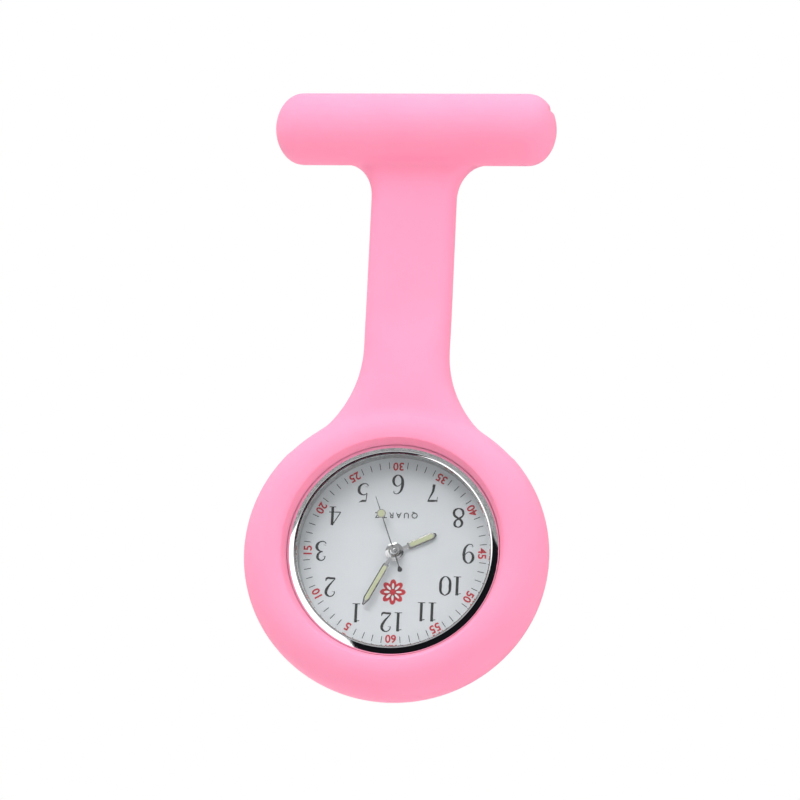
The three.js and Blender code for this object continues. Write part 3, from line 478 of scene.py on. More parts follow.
def moulded_finish(name, light, dark, low, high, depth=0.000012, metallic=0.0):
    """Plastic, rubber, lacquer or ink with a fine skin."""
    material, nodes, shader, place = new_material(name)
    skin = use(nodes, MOULDED_SKIN, vector=place, scale=7000.0, cloud_scale=260.0)
    rough = nodes.ramp(skin["Height"], 0.3, 0.7, low, high)
    settle(nodes, shader, Roughness=rough, Metallic=metallic)
    settle(nodes, shader, Base_Color=nodes.mix(skin["Cloud"], dark, light))
    bumped(nodes, shader, skin["Height"], depth, 0.6)
    return material


def dial_finish():
    """Pearl lacquer: a faint cloud and a finer sparkle."""
    material, nodes, shader, place = new_material("pearl_dial_lacquer")
    skin = use(nodes, MOULDED_SKIN, vector=place, scale=14000.0, cloud_scale=120.0)
    sparkle = nodes.ramp(nodes.noise(place, 22000.0, 1.0), 0.62, 0.72)
    silver = nodes.mix(skin["Cloud"], (0.74, 0.78, 0.81, 1), (0.765, 0.80, 0.83, 1))
    silver = nodes.mix(nodes.math("MULTIPLY", sparkle, 0.25), silver, (0.86, 0.88, 0.92, 1))
    rough = nodes.ramp(skin["Height"], 0.3, 0.7, 0.38, 0.5)
    settle(nodes, shader, Base_Color=silver, Roughness=rough, Coat_Weight=0.15)
    bumped(nodes, shader, skin["Height"], 0.000004, 0.5)
    return material


def mottled_rehaut():
    """Grey metal ring with the blotched reflection of a rough inner wall."""
    material, nodes, shader, place = new_material("mottled_rehaut")
    blotch = nodes.ramp(nodes.noise(place, 2600.0, 4.0, 0.7), 0.35, 0.65)
    grey = nodes.mix(blotch, (0.38, 0.39, 0.39, 1), (0.72, 0.73, 0.73, 1))
    settle(nodes, shader, Base_Color=grey, Metallic=0.9)
    settle(nodes, shader, Roughness=nodes.ramp(blotch, 0, 1, 0.4, 0.6))
    bumped(nodes, shader, blotch, 0.00002, 0.7)
    return material


def clear_glass():
    material, nodes, shader, place = new_material("crystal_glass")
    smear = nodes.noise(place, 160.0, 3.0)
    settle(nodes, shader, Transmission_Weight=1.0, Metallic=0.0, IOR=1.5)
    settle(nodes, shader, Roughness=nodes.ramp(smear, 0.3, 0.8, 0.0, 0.03))
    marks = use(nodes, FINE_SCRATCHES, vector=place, scale=6000.0, patch_scale=150.0)["Mask"]
    bumped(nodes, shader, marks, 0.000001, 0.3)
    clear = nodes.add("ShaderNodeBsdfTransparent")
    lamp_ray = nodes.add("ShaderNodeLightPath").outputs["Is Shadow Ray"]
    shaders = {0: lamp_ray, 1: shader.outputs[0], 2: clear.outputs[0]}
    mixed = nodes.add("ShaderNodeMixShader", shaders)
    output = next(n for n in material.node_tree.nodes if n.type == "OUTPUT_MATERIAL")
    nodes.feed(output.inputs["Surface"], mixed.outputs[0])
    return material


def floor_finish():
    material, nodes, shader, place = new_material("pale_floor")
    cloud = nodes.noise(place, 6.0, 3.0)
    pale = nodes.mix(cloud, (0.80, 0.80, 0.80, 1), (0.84, 0.84, 0.84, 1))
    settle(nodes, shader, Base_Color=pale, Roughness=0.6)
    return material


INK_GRAIN = 0.000003

SILICONE = silicone_finish()
CHROME = polished_metal("polished_chrome", (0.86, 0.865, 0.88, 1), 0.02, 0.12)
HAND_STEEL = polished_metal("polished_hand_steel", (0.84, 0.845, 0.855, 1), 0.05, 0.16, 14000.0)
# Dark steel for the hands' edge facets: painted shade, a dark outline drawn round each hand.
PAINTED_SHADE_EDGE = polished_metal("hand_edge_painted_shade", (0.2, 0.2, 0.19, 1), 0.08, 0.2, 14000.0)
PIN_STEEL = drawn_metal("drawn_pin_steel", (0.72, 0.725, 0.735, 1), 0.14, 0.3)
CASEBACK_STEEL = turned_metal("turned_caseback_steel", (0.62, 0.625, 0.635, 1), 0.22, 0.4)
PLATE_STEEL = drawn_metal("grained_plate_steel", (0.6, 0.6, 0.61, 1), 0.25, 0.4)
TURNED_BRASS = turned_metal("turned_brass", (0.83, 0.62, 0.28, 1), 0.2, 0.38)
REHAUT_GREY = mottled_rehaut()
DIAL_PEARL = dial_finish()
GLASS = clear_glass()
BLACK_INK = moulded_finish(
    "black_dial_ink", (0.012, 0.012, 0.014, 1), (0.006, 0.006, 0.008, 1), 0.5, 0.7, INK_GRAIN
)
RED_INK = moulded_finish(
    "red_dial_ink", (0.62, 0.018, 0.035, 1), (0.5, 0.012, 0.025, 1), 0.4, 0.6, INK_GRAIN
)
LUME = moulded_finish(
    "pale_green_lume", (0.64, 0.68, 0.44, 1), (0.56, 0.6, 0.38, 1), 0.6, 0.8, 0.00001
)
DARK_TIP = moulded_finish(
    "dark_counterweight", (0.03, 0.032, 0.036, 1), (0.02, 0.02, 0.024, 1), 0.25, 0.4
)
BLACK_RUBBER = moulded_finish(
    "black_gasket_rubber", (0.03, 0.03, 0.03, 1), (0.02, 0.02, 0.02, 1), 0.6, 0.8
)
WHITE_ACETAL = moulded_finish(
    "white_acetal", (0.8, 0.79, 0.76, 1), (0.74, 0.73, 0.7, 1), 0.4, 0.55
)
WHITE_INK = moulded_finish(
    "white_dial_ink", (0.85, 0.85, 0.85, 1), (0.8, 0.8, 0.8, 1), 0.4, 0.6, INK_GRAIN
)
ROTOR_GREY = moulded_finish(
    "sintered_rotor", (0.1, 0.1, 0.105, 1), (0.07, 0.07, 0.075, 1), 0.3, 0.5, 0.00001, 0.8
)
PLATE_BRASS = drawn_metal("grained_plate_brass", (0.8, 0.6, 0.28, 1), 0.24, 0.4)
BOARD_GREEN = moulded_finish("green_board", (0.03, 0.25, 0.1, 1), (0.02, 0.18, 0.07, 1), 0.35, 0.5)
COPPER_WIRE = drawn_metal("enamelled_copper", (0.72, 0.3, 0.12, 1), 0.2, 0.4, (1.0, 1.0, 12.0))


# ---- silicone sleeve ----------------------------------------------------------------------

STRAP_HALF = 6.1
STRAP_BACK = 2.6
STRAP_FRONT = 7.2
STRAP_ROUND = 1.9
# Over this height above the head's centre the strap has its plain section.
SWELL_END = 38
BAR_FILLET = 4.8
# The fillet under the bar climbs this far, a little way up the bar's round underside.
FILLET_RISE = 5.6
FILLET_Y = -HEAD_Y - BAR_R - BAR_FILLET
FLARE_R = 17.4
WAIST_Z = SLEEVE_BACK + 4.6
CREST_R = HEAD_R - 4.7
LIP_R = BEZEL_R + 0.04
MOUTH_R = 15.75
MOUTH_Z = SLEEVE_CREST - 0.9
MOUTH_ROLL = 1.7
VOXEL = 0.3
SHRINKAGE = 0.08
# The head is moulded a little narrower than its turned form, and flatter from top to bottom.
HEAD_OVAL = (0.987, 0.96, 1)
WINDOW_R = 12.5
WINDOW_MOUTH_R = 13.1
BACK_FLANGE = 1.3
ROOM = 0.3
CROWN_ROOM_R = 2.3


def flare_half(y):
    """Half the strap's width at a height above the head's centre."""
    flare_x = STRAP_HALF + FLARE_R
    flare_y = HEAD_OVAL[1] * math.sqrt((HEAD_R + FLARE_R) ** 2 - flare_x**2)
    if y < flare_y:
        return flare_x - math.sqrt(FLARE_R**2 - (flare_y - y) ** 2)
    if y > FILLET_Y:
        rise = min((y - FILLET_Y) / FILLET_RISE, 1)
        return STRAP_HALF + BAR_FILLET * (1 - math.sqrt(1 - rise**2))
    return STRAP_HALF


def strap_loft():
    """The strap as a loft of rounded sections, deeper and wider where it runs into the head."""
    bm = bmesh.new()
    lowest = 17.6
    highest = -HEAD_Y - 1.5
    plain = 50
    rows = [lowest + (FILLET_Y - lowest) * i / plain for i in range(plain)]
    rows += [FILLET_Y + rise for _, rise in arc((0, 0), (BAR_FILLET, FILLET_RISE), 0, 90, 16)]
    before = None
    for y in rows + [highest]:
        half = flare_half(y) + SHRINKAGE
        swell = smooth_step((SWELL_END - y) / 19)
        back = STRAP_BACK - 0.3 * swell - SHRINKAGE
        front = STRAP_FRONT + 2.7 * swell + SHRINKAGE
        front_edge = (STRAP_ROUND + 2.8 * swell, STRAP_ROUND + 1.8 * swell)
        back_edge = (STRAP_ROUND + 1.1 * swell, STRAP_ROUND + 1.3 * swell)
        corners = []
        for x_side, z_side, start in ((1, 1, 0), (-1, 1, 90), (-1, -1, 180), (1, -1, 270)):
            edge, face = (front_edge, front) if z_side > 0 else (back_edge, back)
            centre = (x_side * (half - edge[0]), face - z_side * edge[1])
            corners += arc(centre, edge, start, start + 90, 8)
        ring = [bm.verts.new((x, y, z)) for x, z in corners]
        edges = [bm.edges.new((ring[k], ring[(k + 1) % len(ring)])) for k in range(len(ring))]
        if before:
            bmesh.ops.bridge_loops(bm, edges=before + edges)
        before = edges
    bmesh.ops.holes_fill(bm, edges=bm.edges, sides=0)
    bmesh.ops.recalc_face_normals(bm, faces=bm.faces)
    return bm


def head_form():
    """The outside of the round pocket, domed towards the rim of its recess."""
    back = arc((HEAD_R - 3, WAIST_Z), (3, WAIST_Z - SLEEVE_BACK), -90, 0, 8)
    front = arc((CREST_R, WAIST_Z), (HEAD_R - CREST_R, SLEEVE_CREST - WAIST_Z), 0, 90, 14)[1:]
    inward = arc((CREST_R, MOUTH_Z), (MOUTH_ROLL, SLEEVE_CREST - MOUTH_Z), 90, 175, 10)[1:]
    form = turned([(0, SLEEVE_BACK)] + back + front + inward + [(0, inward[-1][1])], 160)
    bmesh.ops.scale(form, vec=HEAD_OVAL, verts=form.verts)
    return moved(form, 0, HEAD_Y, 0)


def recess_cutter():
    """The recess in front of the bezel, with a sloping wall up to its crisp mouth."""
    floor = BEZEL_FRONT - 0.5
    wall = [(LIP_R, floor), (LIP_R + 0.05, BEZEL_FRONT - 0.2)]
    wall += [(MOUTH_R, MOUTH_Z + 0.5), (MOUTH_R + 0.2, SLEEVE_CREST)]
    beyond = [(MOUTH_R + 0.3, SLEEVE_CREST + 3), (0, SLEEVE_CREST + 3)]
    return moved(turned([(0, floor)] + wall + beyond, 192), 0, HEAD_Y, 0)


def cavity_cutter():
    """The room for the watch case, and the window at its back."""
    flange = SLEEVE_BACK + BACK_FLANGE
    beyond = SLEEVE_BACK - 1
    window = [(0, beyond), (WINDOW_MOUTH_R, beyond), (WINDOW_MOUTH_R, SLEEVE_BACK)]
    window += [(WINDOW_R, SLEEVE_BACK + 0.35), (WINDOW_R, flange)]
    room = [(CASE_R + ROOM, flange), (CASE_R + ROOM, BEZEL_BACK - 0.1)]
    room += [(LIP_R, BEZEL_FRONT - 0.35), (LIP_R, BEZEL_FRONT), (0, BEZEL_FRONT)]
    return moved(turned(window + room, 192), 0, HEAD_Y, 0)


def cross_bar():
    """The domed bar, a little over size for the smoothing that follows."""
    dome = 4.0
    radius = BAR_R + SHRINKAGE
    right = arc((0, BAR_HALF - dome), (radius, dome), 0, 90, 10)
    left = arc((0, dome - BAR_HALF), (radius, dome), -90, 0, 10)
    points = left + right
    points[0] = (0, points[0][1])
    points[-1] = (0, points[-1][1])
    return moved(along_x(turned(points, 64)), 0, 0, BAR_Z)


def eased(bm, verts, rounds):
    for _ in range(rounds):
        bmesh.ops.smooth_vert(
            bm, verts=verts, factor=0.5, use_axis_x=True, use_axis_y=True, use_axis_z=True
        )


def melted_joins(bm):
    """Eases the strap's root, less and less away from it, and the corner under the bar."""
    for fade in range(24):
        top = 33 - fade * 0.4
        foot = 18.5 + fade * 0.06
        root = [
            v for v in bm.verts
            if 14 < v.co.y - HEAD_Y < top
            and math.hypot(v.co.y - HEAD_Y, v.co.x) > foot
            and v.co.z > 4
        ]
        eased(bm, root, 2)
    under_bar = [
        v for v in bm.verts if -8.6 < v.co.y < -3.4 and abs(v.co.x) < 5.5 and v.co.z > 5.5
    ]
    eased(bm, under_bar, 14)
    return bm


def bar_cutters():
    """The bar's flat back, the brooch's channel with its open neck, and the notch at one end."""
    slot_half = (STRIP_HIGH.y - STRIP_LOW.y) / 2 + ROOM
    slot_from = STRIP_LOW.x - ROOM
    beyond = BAR_HALF + 1
    under, over = BAR_Z - BAR_R - 1, BAR_Z + BAR_R + 1
    flat = block((-beyond, -BAR_R - 1, under), (beyond, BAR_R + 1, SLEEVE_BACK))
    channel_back, channel_front = SLEEVE_BACK + 0.6, STRIP_HIGH.z + ROOM
    channel = block((slot_from, -slot_half, channel_back), (beyond, slot_half, channel_front))
    neck = block((slot_from, -1.5, SLEEVE_BACK - 1), (beyond, 1.5, SLEEVE_BACK + 1))
    notch = block((BAR_HALF - 1.1, slot_half - 0.2, SLEEVE_BACK - 1), (beyond, BAR_R + 1, over))
    return [flat, channel, neck, notch]


def crown_cutter():
    """The room for the crown, in the pocket's side wall."""
    low, high = bench_box("crown")
    outer, inner = low.x - 1.4, -CASE_R + 1
    room = along_x(turned(band(0, CROWN_ROOM_R, outer, inner), 48))
    return moved(room, 0, (low.y + high.y) / 2, (low.z + high.z) / 2)


def silicone_sleeve():
    """One moulding: bar, strap and pocket run into one another, then all hollows are cut."""
    solids = gathered(head_form(), moved(strap_loft(), 0, HEAD_Y, 0), cross_bar())
    bm = with_modifier(solids, "REMESH", mode="VOXEL", voxel_size=VOXEL, adaptivity=0.0)
    eased(bm, bm.verts, 4)
    bm = melted_joins(bm)
    bm = carved(bm, *bar_cutters(), crown_cutter(), recess_cutter(), cavity_cutter())
    nodes = ("sleeve_brooch_bar", "sleeve_pocket")
    sleeve = piece("silicone_sleeve", bm, None, [SILICONE], nodes, 50)
    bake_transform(sleeve)


silicone_sleeve()

# ---- brooch pin ---------------------------------------------------------------------------

NEEDLE_R = 0.45
EYE_BORE, EYE_R, EYE_HALF = 0.42, 1.0, 0.55
NEEDLE_TIP = bench_box("pin_needle")[1].x
EAR_R = 1.2
EAR_IN = 0.65
EAR_OUT = 1.15
HOOP_BORE = 1.07
HOOP_R = 1.52
HOOP_HALF = 0.7
SLOT_HALF = 0.55
COLLAR_R = 1.02
FLANGE_R = 1.32
TAB_REACH = CATCH_HIGH.y


def pin_strip():
    """The flat strip with its two hinge ears and the catch's hoop."""
    front = STRIP_HIGH.z
    back = front - 0.5
    strip = block((STRIP_LOW.x, STRIP_LOW.y, back), (STRIP_HIGH.x, STRIP_HIGH.y, front))
    strip = softened(strip, 0.15)
    ears = []
    for low in (EAR_IN, -EAR_OUT):
        outline = arc((HINGE_X, 0), (EAR_R, EAR_R), 180, 0, 24)
        outline += [(HINGE_X + EAR_R, -back - 0.1), (HINGE_X - EAR_R, -back - 0.1)]
        ear = slab(outline, low, low + EAR_OUT - EAR_IN)
        hole = turned(band(0, EYE_BORE, -2, 2), 40)
        ears.append(along_y(softened(carved(ear, moved(hole, HINGE_X)), 0.07)))
    hoop = along_x(turned(band(HOOP_BORE, HOOP_R, -HOOP_HALF, HOOP_HALF), 72))
    hoop = softened(carved(hoop, block((-1, -SLOT_HALF, -3), (1, SLOT_HALF, 0))), 0.08)
    stalk = softened(block((-HOOP_HALF, -1.0, 1.3), (HOOP_HALF, 1.0, back + 0.1)), 0.1)
    parts = gathered(strip, *ears, moved(hoop, CATCH_X), moved(stalk, CATCH_X))
    piece("pin_strip", parts, "brooch_bar", [PIN_STEEL], ("pin_base",))


def hinge_rivet():
    low, high = bench_box("hinge_rivet")
    reach, rivet_head = (high.y - low.y) / 2, high.z
    dome = arc((0, reach - 0.25), (rivet_head, 0.25), 90, 0, 8)
    foot = [(radius, -height) for radius, height in dome]
    shank = [(0.35, 0.25 - reach), (0.35, reach - 0.25)]
    rivet = along_y(turned(foot + shank + dome[::-1], 48))
    rivet = moved(rivet, HINGE_X)
    piece("pin_rivet", rivet, "brooch_bar", [PIN_STEEL], ("hinge_rivet",))


def needle():
    """Round wire with a flattened eye at the hinge and a long ground point."""
    taper = arc((0, NEEDLE_TIP - 3), (NEEDLE_R, 3), 0, 90, 12)
    taper[-1] = (0, NEEDLE_TIP)
    wire = along_x(turned([(0, HINGE_X + 0.6), (NEEDLE_R, HINGE_X + 0.6)] + taper, 40))
    eye = turned(band(EYE_BORE, EYE_R, -EYE_HALF, EYE_HALF), 48)
    eye = softened(moved(along_y(eye), HINGE_X), 0.12)
    piece("needle_wire", gathered(wire, eye), "needle", [PIN_STEEL], ("pin_needle",))


def locking_collar():
    """The slotted tube that turns in the hoop, with its two flanges and thumb tab."""
    half = HOOP_HALF + 0.05
    rim = CATCH_HIGH.x - CATCH_X
    profile = [(SLOT_HALF, -rim), (FLANGE_R, -rim), (FLANGE_R, -half), (COLLAR_R, -half)]
    profile += [(radius, -depth) for radius, depth in reversed(profile)]
    tube = carved(along_x(turned(profile, 64)), block((-3, -SLOT_HALF, -3), (3, SLOT_HALF, 0)))
    tab = arc((0, TAB_REACH - 0.35), (0.35, 0.35), 0, 180, 12)
    tab = along_x(slab(tab + [(-0.35, 0.7), (0.35, 0.7)], -rim, -half))
    collar = moved(gathered(softened(tube, 0.06), softened(tab, 0.05)), CATCH_X)
    piece("collar_tube", collar, "collar", [PIN_STEEL], ("catch_collar",))


pin_strip()
hinge_rivet()
needle()
locking_collar()

# ---- watch case, glass and dial -----------------------------------------------------------

LIP_RADIUS = CRYSTAL_R + 0.05
REHAUT_FOOT = DIAL_R - 0.47
BAND_CURVE = 2.75
BAND_FROM, BAND_TO = 65, 86
BOSS_HOUR, BOSS_MINUTE, BOSS_CAP = 1.3, 1.1, 0.55


def at_head(bm):
    return moved(bm, 0, HEAD_Y, 0)


def head_piece(name, bm, material, replaces=(), body="watch_head", sharp=35):
    return piece(name, at_head(bm), body, [material], replaces, sharp)


def bezel_and_glass():
    """A gently crowned bright ring, the flat glass in it and the grey inner wall below."""
    edge = 0.03
    band_x = BEZEL_R - edge - BAND_CURVE * math.cos(math.radians(BAND_FROM))
    band = arc((band_x, BEZEL_FRONT - BAND_CURVE), (BAND_CURVE, BAND_CURVE), BAND_FROM, BAND_TO, 12)
    band += arc((LIP_RADIUS + 0.25, band[-1][1] - 0.25), (0.25, 0.25), BAND_TO, 180, 10)[1:]
    foot = [(BORE_R, BEZEL_BACK), (BEZEL_R - 0.08, BEZEL_BACK)]
    foot += [(BEZEL_R, BEZEL_BACK + 0.08), (BEZEL_R, band[0][1] - edge)]
    lip = [(LIP_RADIUS, BEZEL_FRONT - 0.55), (BORE_R, BEZEL_FRONT - 0.55)]
    bezel = turned(foot + band + lip, 256)
    head_piece("bezel_ring", bezel, CHROME, ("bezel",), sharp=50)
    edge = 0.1
    glass = [(0, CRYSTAL_BACK), (CRYSTAL_R, CRYSTAL_BACK), (CRYSTAL_R, CRYSTAL_FRONT - edge)]
    glass += [(CRYSTAL_R - edge, CRYSTAL_FRONT), (0, CRYSTAL_FRONT)]
    head_piece("crystal_disc", turned(glass, 192), GLASS, ("crystal",))
    low, high = bench_box("rehaut_ring")
    outer = DIAL_R - 0.01
    ring = [(REHAUT_FOOT, low.z), (outer, low.z), (outer, high.z), (REHAUT_FOOT + 0.15, high.z)]
    head_piece("rehaut", turned(ring, 192), REHAUT_GREY, ("rehaut_ring",))


def caseback_disc():
    """The snap back, with its turned steps and hollow inside."""
    low, high = bench_box("caseback")
    steps = [(0, low.z + 0.06), (9.2, low.z + 0.06), (9.5, low.z), (11.6, low.z)]
    steps += [(11.75, low.z + 0.1), (12.1, low.z + 0.1), (12.25, low.z)]
    steps += [(CASEBACK_R - 0.1, low.z), (CASEBACK_R, low.z + 0.1)]
    bore, web = CASEBACK_R - 0.35, low.z + 0.6
    inside = [(CASEBACK_R, high.z), (bore, high.z), (bore, web), (0, web)]
    back = turned(steps + inside, 192)
    head_piece("caseback_disc", back, CASEBACK_STEEL, ("caseback",))


bezel_and_glass()
caseback_disc()

# ---- dial printing ------------------------------------------------------------------------

# Each numeral is a set of pen strokes, in thousandths of its height: (x, y, half the pen's
# width) at each point.
EM = 1000
NUMERAL_STROKES = {
    "0": [[(270, 985, 20), (440, 840, 50), (480, 500, 66), (440, 160, 50), (270, 15, 20),
          (100, 160, 50), (60, 500, 66), (100, 840, 50), (270, 985, 20)]],
    "1": [[(220, 20, 62), (220, 500, 62), (220, 970, 62)], [(240, 960, 22), (160, 900, 22),
          (50, 870, 16)], [(50, 18, 18), (220, 18, 18), (390, 18, 18)]],
    "2": [[(70, 720, 20), (100, 880, 22), (260, 980, 26), (430, 870, 55), (450, 710, 66),
          (370, 500, 55), (200, 250, 30), (60, 60, 20)], [(120, 730, 60), (125, 745, 60)],
          [(70, 50, 45), (250, 55, 52), (430, 50, 50), (490, 200, 12)]],
    "3": [[(70, 760, 20), (120, 920, 24), (260, 985, 28), (400, 880, 56), (410, 730, 60),
          (330, 580, 36), (190, 530, 18)], [(190, 530, 18), (350, 490, 36), (460, 340, 66),
          (440, 150, 60), (300, 20, 28), (140, 20, 22), (50, 120, 20)], [(115, 770, 55),
          (120, 785, 55)], [(105, 180, 58), (110, 195, 58)]],
    "4": [[(390, 970, 22), (210, 640, 22), (30, 300, 22)], [(20, 285, 24), (300, 285, 24),
          (540, 285, 24)], [(390, 20, 60), (390, 500, 60), (390, 960, 60)], [(240, 18, 18),
          (390, 18, 18), (540, 18, 18)]],
    "5": [[(130, 930, 20), (110, 700, 18), (90, 500, 16)], [(130, 910, 45), (270, 910, 52),
          (440, 980, 12)], [(90, 500, 16), (180, 580, 22), (300, 585, 36), (440, 460, 62),
          (460, 280, 66), (380, 90, 45), (220, 14, 24), (80, 60, 20), (50, 150, 20)],
          [(110, 175, 58), (115, 190, 58)]],
    "6": [[(450, 860, 18), (400, 960, 20), (300, 985, 22), (160, 880, 42), (70, 640, 62),
          (60, 360, 66), (120, 120, 50), (270, 15, 24), (420, 120, 52), (470, 300, 64),
          (420, 490, 50), (290, 585, 24), (150, 500, 18), (90, 380, 16)], [(405, 845, 52),
          (410, 855, 52)]],
    "7": [[(50, 970, 14), (55, 840, 14), (40, 700, 12)], [(60, 900, 30), (240, 910, 56),
          (470, 920, 45)], [(480, 950, 16), (380, 720, 30), (250, 400, 50), (210, 60, 66)]],
    "8": [[(270, 985, 26), (410, 900, 50), (430, 760, 56), (370, 620, 40), (200, 500, 50),
          (80, 370, 36), (60, 240, 54), (120, 80, 50), (270, 15, 26), (420, 80, 50),
          (480, 240, 58), (440, 380, 54), (300, 500, 50), (150, 620, 54), (100, 760, 54),
          (140, 900, 46), (270, 985, 26)]],
}
NUMERAL_WIDTH, ONE_WIDTH, NUMERAL_GAP = 540, 440, 40
NUMERAL_STROKES["9"] = [
    [(NUMERAL_WIDTH - x, EM - y, pen) for x, y, pen in stroke] for stroke in NUMERAL_STROKES["6"]
]
NUMERAL_HEIGHT = 2.8
NUMERAL_STRETCH = 1.13
# How far each hour's numeral stands from the dial's centre.
NUMERAL_RADIUS = {
    1: 10.2, 2: 10.3, 3: 10.5, 4: 10.1, 5: 9.8, 6: 9.8,
    7: 10, 8: 10.2, 9: 10.5, 10: 9.4, 11: 9.8, 12: 10,
}
INK = 0.02
WORD_HEIGHT, WORD_WEIGHT, WORD_SPACING, WORD_Y = 0.98, 0.008, 1.5, -5.4
ROSETTE_Y = 5.7
MINUTE_HEIGHT = 1.2
MINUTE_RADIUS = 12.4
TICK_FROM, TICK_TO, TICK_HALF = 12.1, 13.05, 0.05


def curve_mesh(curve):
    """A curve's own mesh, taken before it gets a place."""
    ob = linked("loose_curve", curve)
    depsgraph = bpy.context.evaluated_depsgraph_get()
    mesh = bpy.data.meshes.new_from_object(ob.evaluated_get(depsgraph))
    bm = bmesh.new()
    bm.from_mesh(mesh)
    bpy.data.objects.remove(ob)
    bpy.data.curves.remove(curve)
    bpy.data.meshes.remove(mesh)
    return bm


def pen_strokes(strokes, shift):
    """Flat pen strokes from round ones."""
    curve = bpy.data.curves.new("strokes", "CURVE")
    curve.dimensions = "3D"
    curve.bevel_depth = 1
    curve.bevel_resolution = 0
    curve.resolution_u = 6
    curve.use_fill_caps = True
    for stroke in strokes:
        spline = curve.splines.new("BEZIER")
        spline.bezier_points.add(len(stroke) - 1)
        for point, (x, y, pen) in zip(spline.bezier_points, stroke):
            point.co = ((x + shift) / EM, y / EM, 0)
            point.radius = pen / EM * 0.95 + 0.003
            point.handle_left_type = point.handle_right_type = "AUTO"
    return curve_mesh(curve)


def hour_numeral(text):
    """A numeral from its digits, centred on its own middle."""
    shift, digits = 0, []
    for digit in text:
        digits.append(pen_strokes(NUMERAL_STROKES[digit], shift))
        shift += (ONE_WIDTH if digit == "1" else NUMERAL_WIDTH) + NUMERAL_GAP
    bm = gathered(*digits)
    middle = (shift - NUMERAL_GAP) / 2 / EM
    bmesh.ops.translate(bm, vec=(-middle, -0.5, 0), verts=bm.verts)
    size = (NUMERAL_HEIGHT * NUMERAL_STRETCH, NUMERAL_HEIGHT, 0.05)
    bmesh.ops.scale(bm, vec=size, verts=bm.verts)
    return bm


def lettering(text, height, weight, spacing=1.0):
    """Plain lettering, centred, with its capitals' height given."""
    curve = bpy.data.curves.new(text, "FONT")
    curve.body = text
    curve.align_x = "CENTER"
    curve.align_y = "CENTER"
    curve.offset = weight
    curve.space_character = spacing
    curve.extrude = 0.01
    curve.resolution_u = 4
    bm = curve_mesh(curve)
    heights = [v.co.y for v in bm.verts]
    middle = (max(heights) + min(heights)) / 2
    scale = height / (max(heights) - min(heights))
    bmesh.ops.translate(bm, vec=(0, -middle, 0), verts=bm.verts)
    bmesh.ops.scale(bm, vec=(scale, scale, 1), verts=bm.verts)
    return bm


def on_dial(bm, radius, degrees, upright=True, turn=0):
    """Moves a mark to its place, degrees clockwise from twelve."""
    angle = math.radians(degrees)
    if not upright:
        rotated(bm, turn - degrees, "Z")
    return moved(bm, radius * math.sin(angle), radius * math.cos(angle), 0)


def dial_mark(name, marks, ink, lift=INK):
    """Printed marks, with twelve turned to the bottom, on the dial's face."""
    bm = rotated(gathered(*marks), 180, "Z")
    return head_piece(name, moved(bm, 0, 0, DIAL_FRONT + lift / 2), ink)


def dial_face():
    low, high = bench_box("dial")
    hole = 0.95
    plate = turned(band(hole, DIAL_R - 0.02, low.z, high.z), 160)
    head_piece("dial_plate", plate, DIAL_PEARL, ("dial",))
    hours = [
        on_dial(hour_numeral(str(hour)), radius, hour * 30)
        for hour, radius in NUMERAL_RADIUS.items()
    ]
    dial_mark("hour_numerals", hours, BLACK_INK)
    minutes = []
    for minute in range(5, 61, 5):
        turn = 180 if 20 <= minute <= 40 else 0
        numeral = lettering(str(minute), MINUTE_HEIGHT, 0.025)
        minutes.append(on_dial(numeral, MINUTE_RADIUS, minute * 6, False, turn))
    dial_mark("minute_numerals", minutes, RED_INK)
    ticks = []
    for minute in (m for m in range(60) if m % 5):
        tick = block((-TICK_HALF, TICK_FROM, -INK / 2), (TICK_HALF, TICK_TO, INK / 2))
        ticks.append(rotated(tick, -minute * 6, "Z"))
    dial_mark("minute_ticks", ticks, BLACK_INK)
    word = lettering("QUARTZ", WORD_HEIGHT, WORD_WEIGHT, WORD_SPACING)
    dial_mark("dial_word", [moved(word, 0, WORD_Y)], BLACK_INK)


def flat_disc(radius, steps):
    return turned(band(0, radius, -INK / 2, INK / 2), steps)


def ring_of_petals(radius, steps, shape, distance):
    """Eight oval petals about a middle."""
    petals = []
    for i in range(8):
        petal = flat_disc(radius, steps)
        bmesh.ops.scale(petal, vec=shape, verts=petal.verts)
        petals.append(rotated(moved(petal, 0, distance), 45 * i, "Z"))
    return petals


def rosette():
    """A red rosette of eight petals with a white flower in its middle."""
    petals = [flat_disc(0.62, 24)] + ring_of_petals(0.5, 20, (0.9, 1.4, 1), 1.12)
    hearts = ring_of_petals(0.16, 16, (1, 2.6, 1), 0.85)
    dial_mark("rosette_red", [moved(petal, 0, ROSETTE_Y) for petal in petals], RED_INK)
    dial_mark("rosette_white", [moved(heart, 0, ROSETTE_Y) for heart in hearts], WHITE_INK, 3 * INK)


dial_face()
rosette()

# ---- hands --------------------------------------------------------------------------------

HOUR_ANGLE, MINUTE_ANGLE, SECOND_ANGLE = 245.6, 27.8, 159.5
HAND_THICK = 0.15
FACET = 0.09
SECONDS_THICK = 0.12
SECONDS_EYE_Y, SECONDS_EYE_R = 5.7, 0.635


def blade_outline(start, end, half, taper, tip_half):
    """One side from its foot to the tip, and back down the other."""
    side = [(half - 0.12, start), (half, start + 0.25), (half, end - taper), (tip_half, end)]
    return side + [(-x, y) for x, y in reversed(side)]


def roofed(outline, low, high, width):
    """A plate whose rim is faceted down towards its edge."""
    bm = slab(outline, low, high - FACET)
    top = [face for face in bm.faces if face.normal.z > 0.9]
    inset = bmesh.ops.inset_region(
        bm, faces=top, thickness=width, depth=FACET, use_even_offset=True
    )
    # The facets take the second finish, dark steel: painted shade that draws a dark outline round
    # the hand.
    for face in inset["faces"]:
        face.material_index = 1
    return bm


def pointed(bm, degrees):
    """A hand drawn towards twelve, turned to its reading on the inverted dial."""
    return rotated(bm, 180 - degrees, "Z")


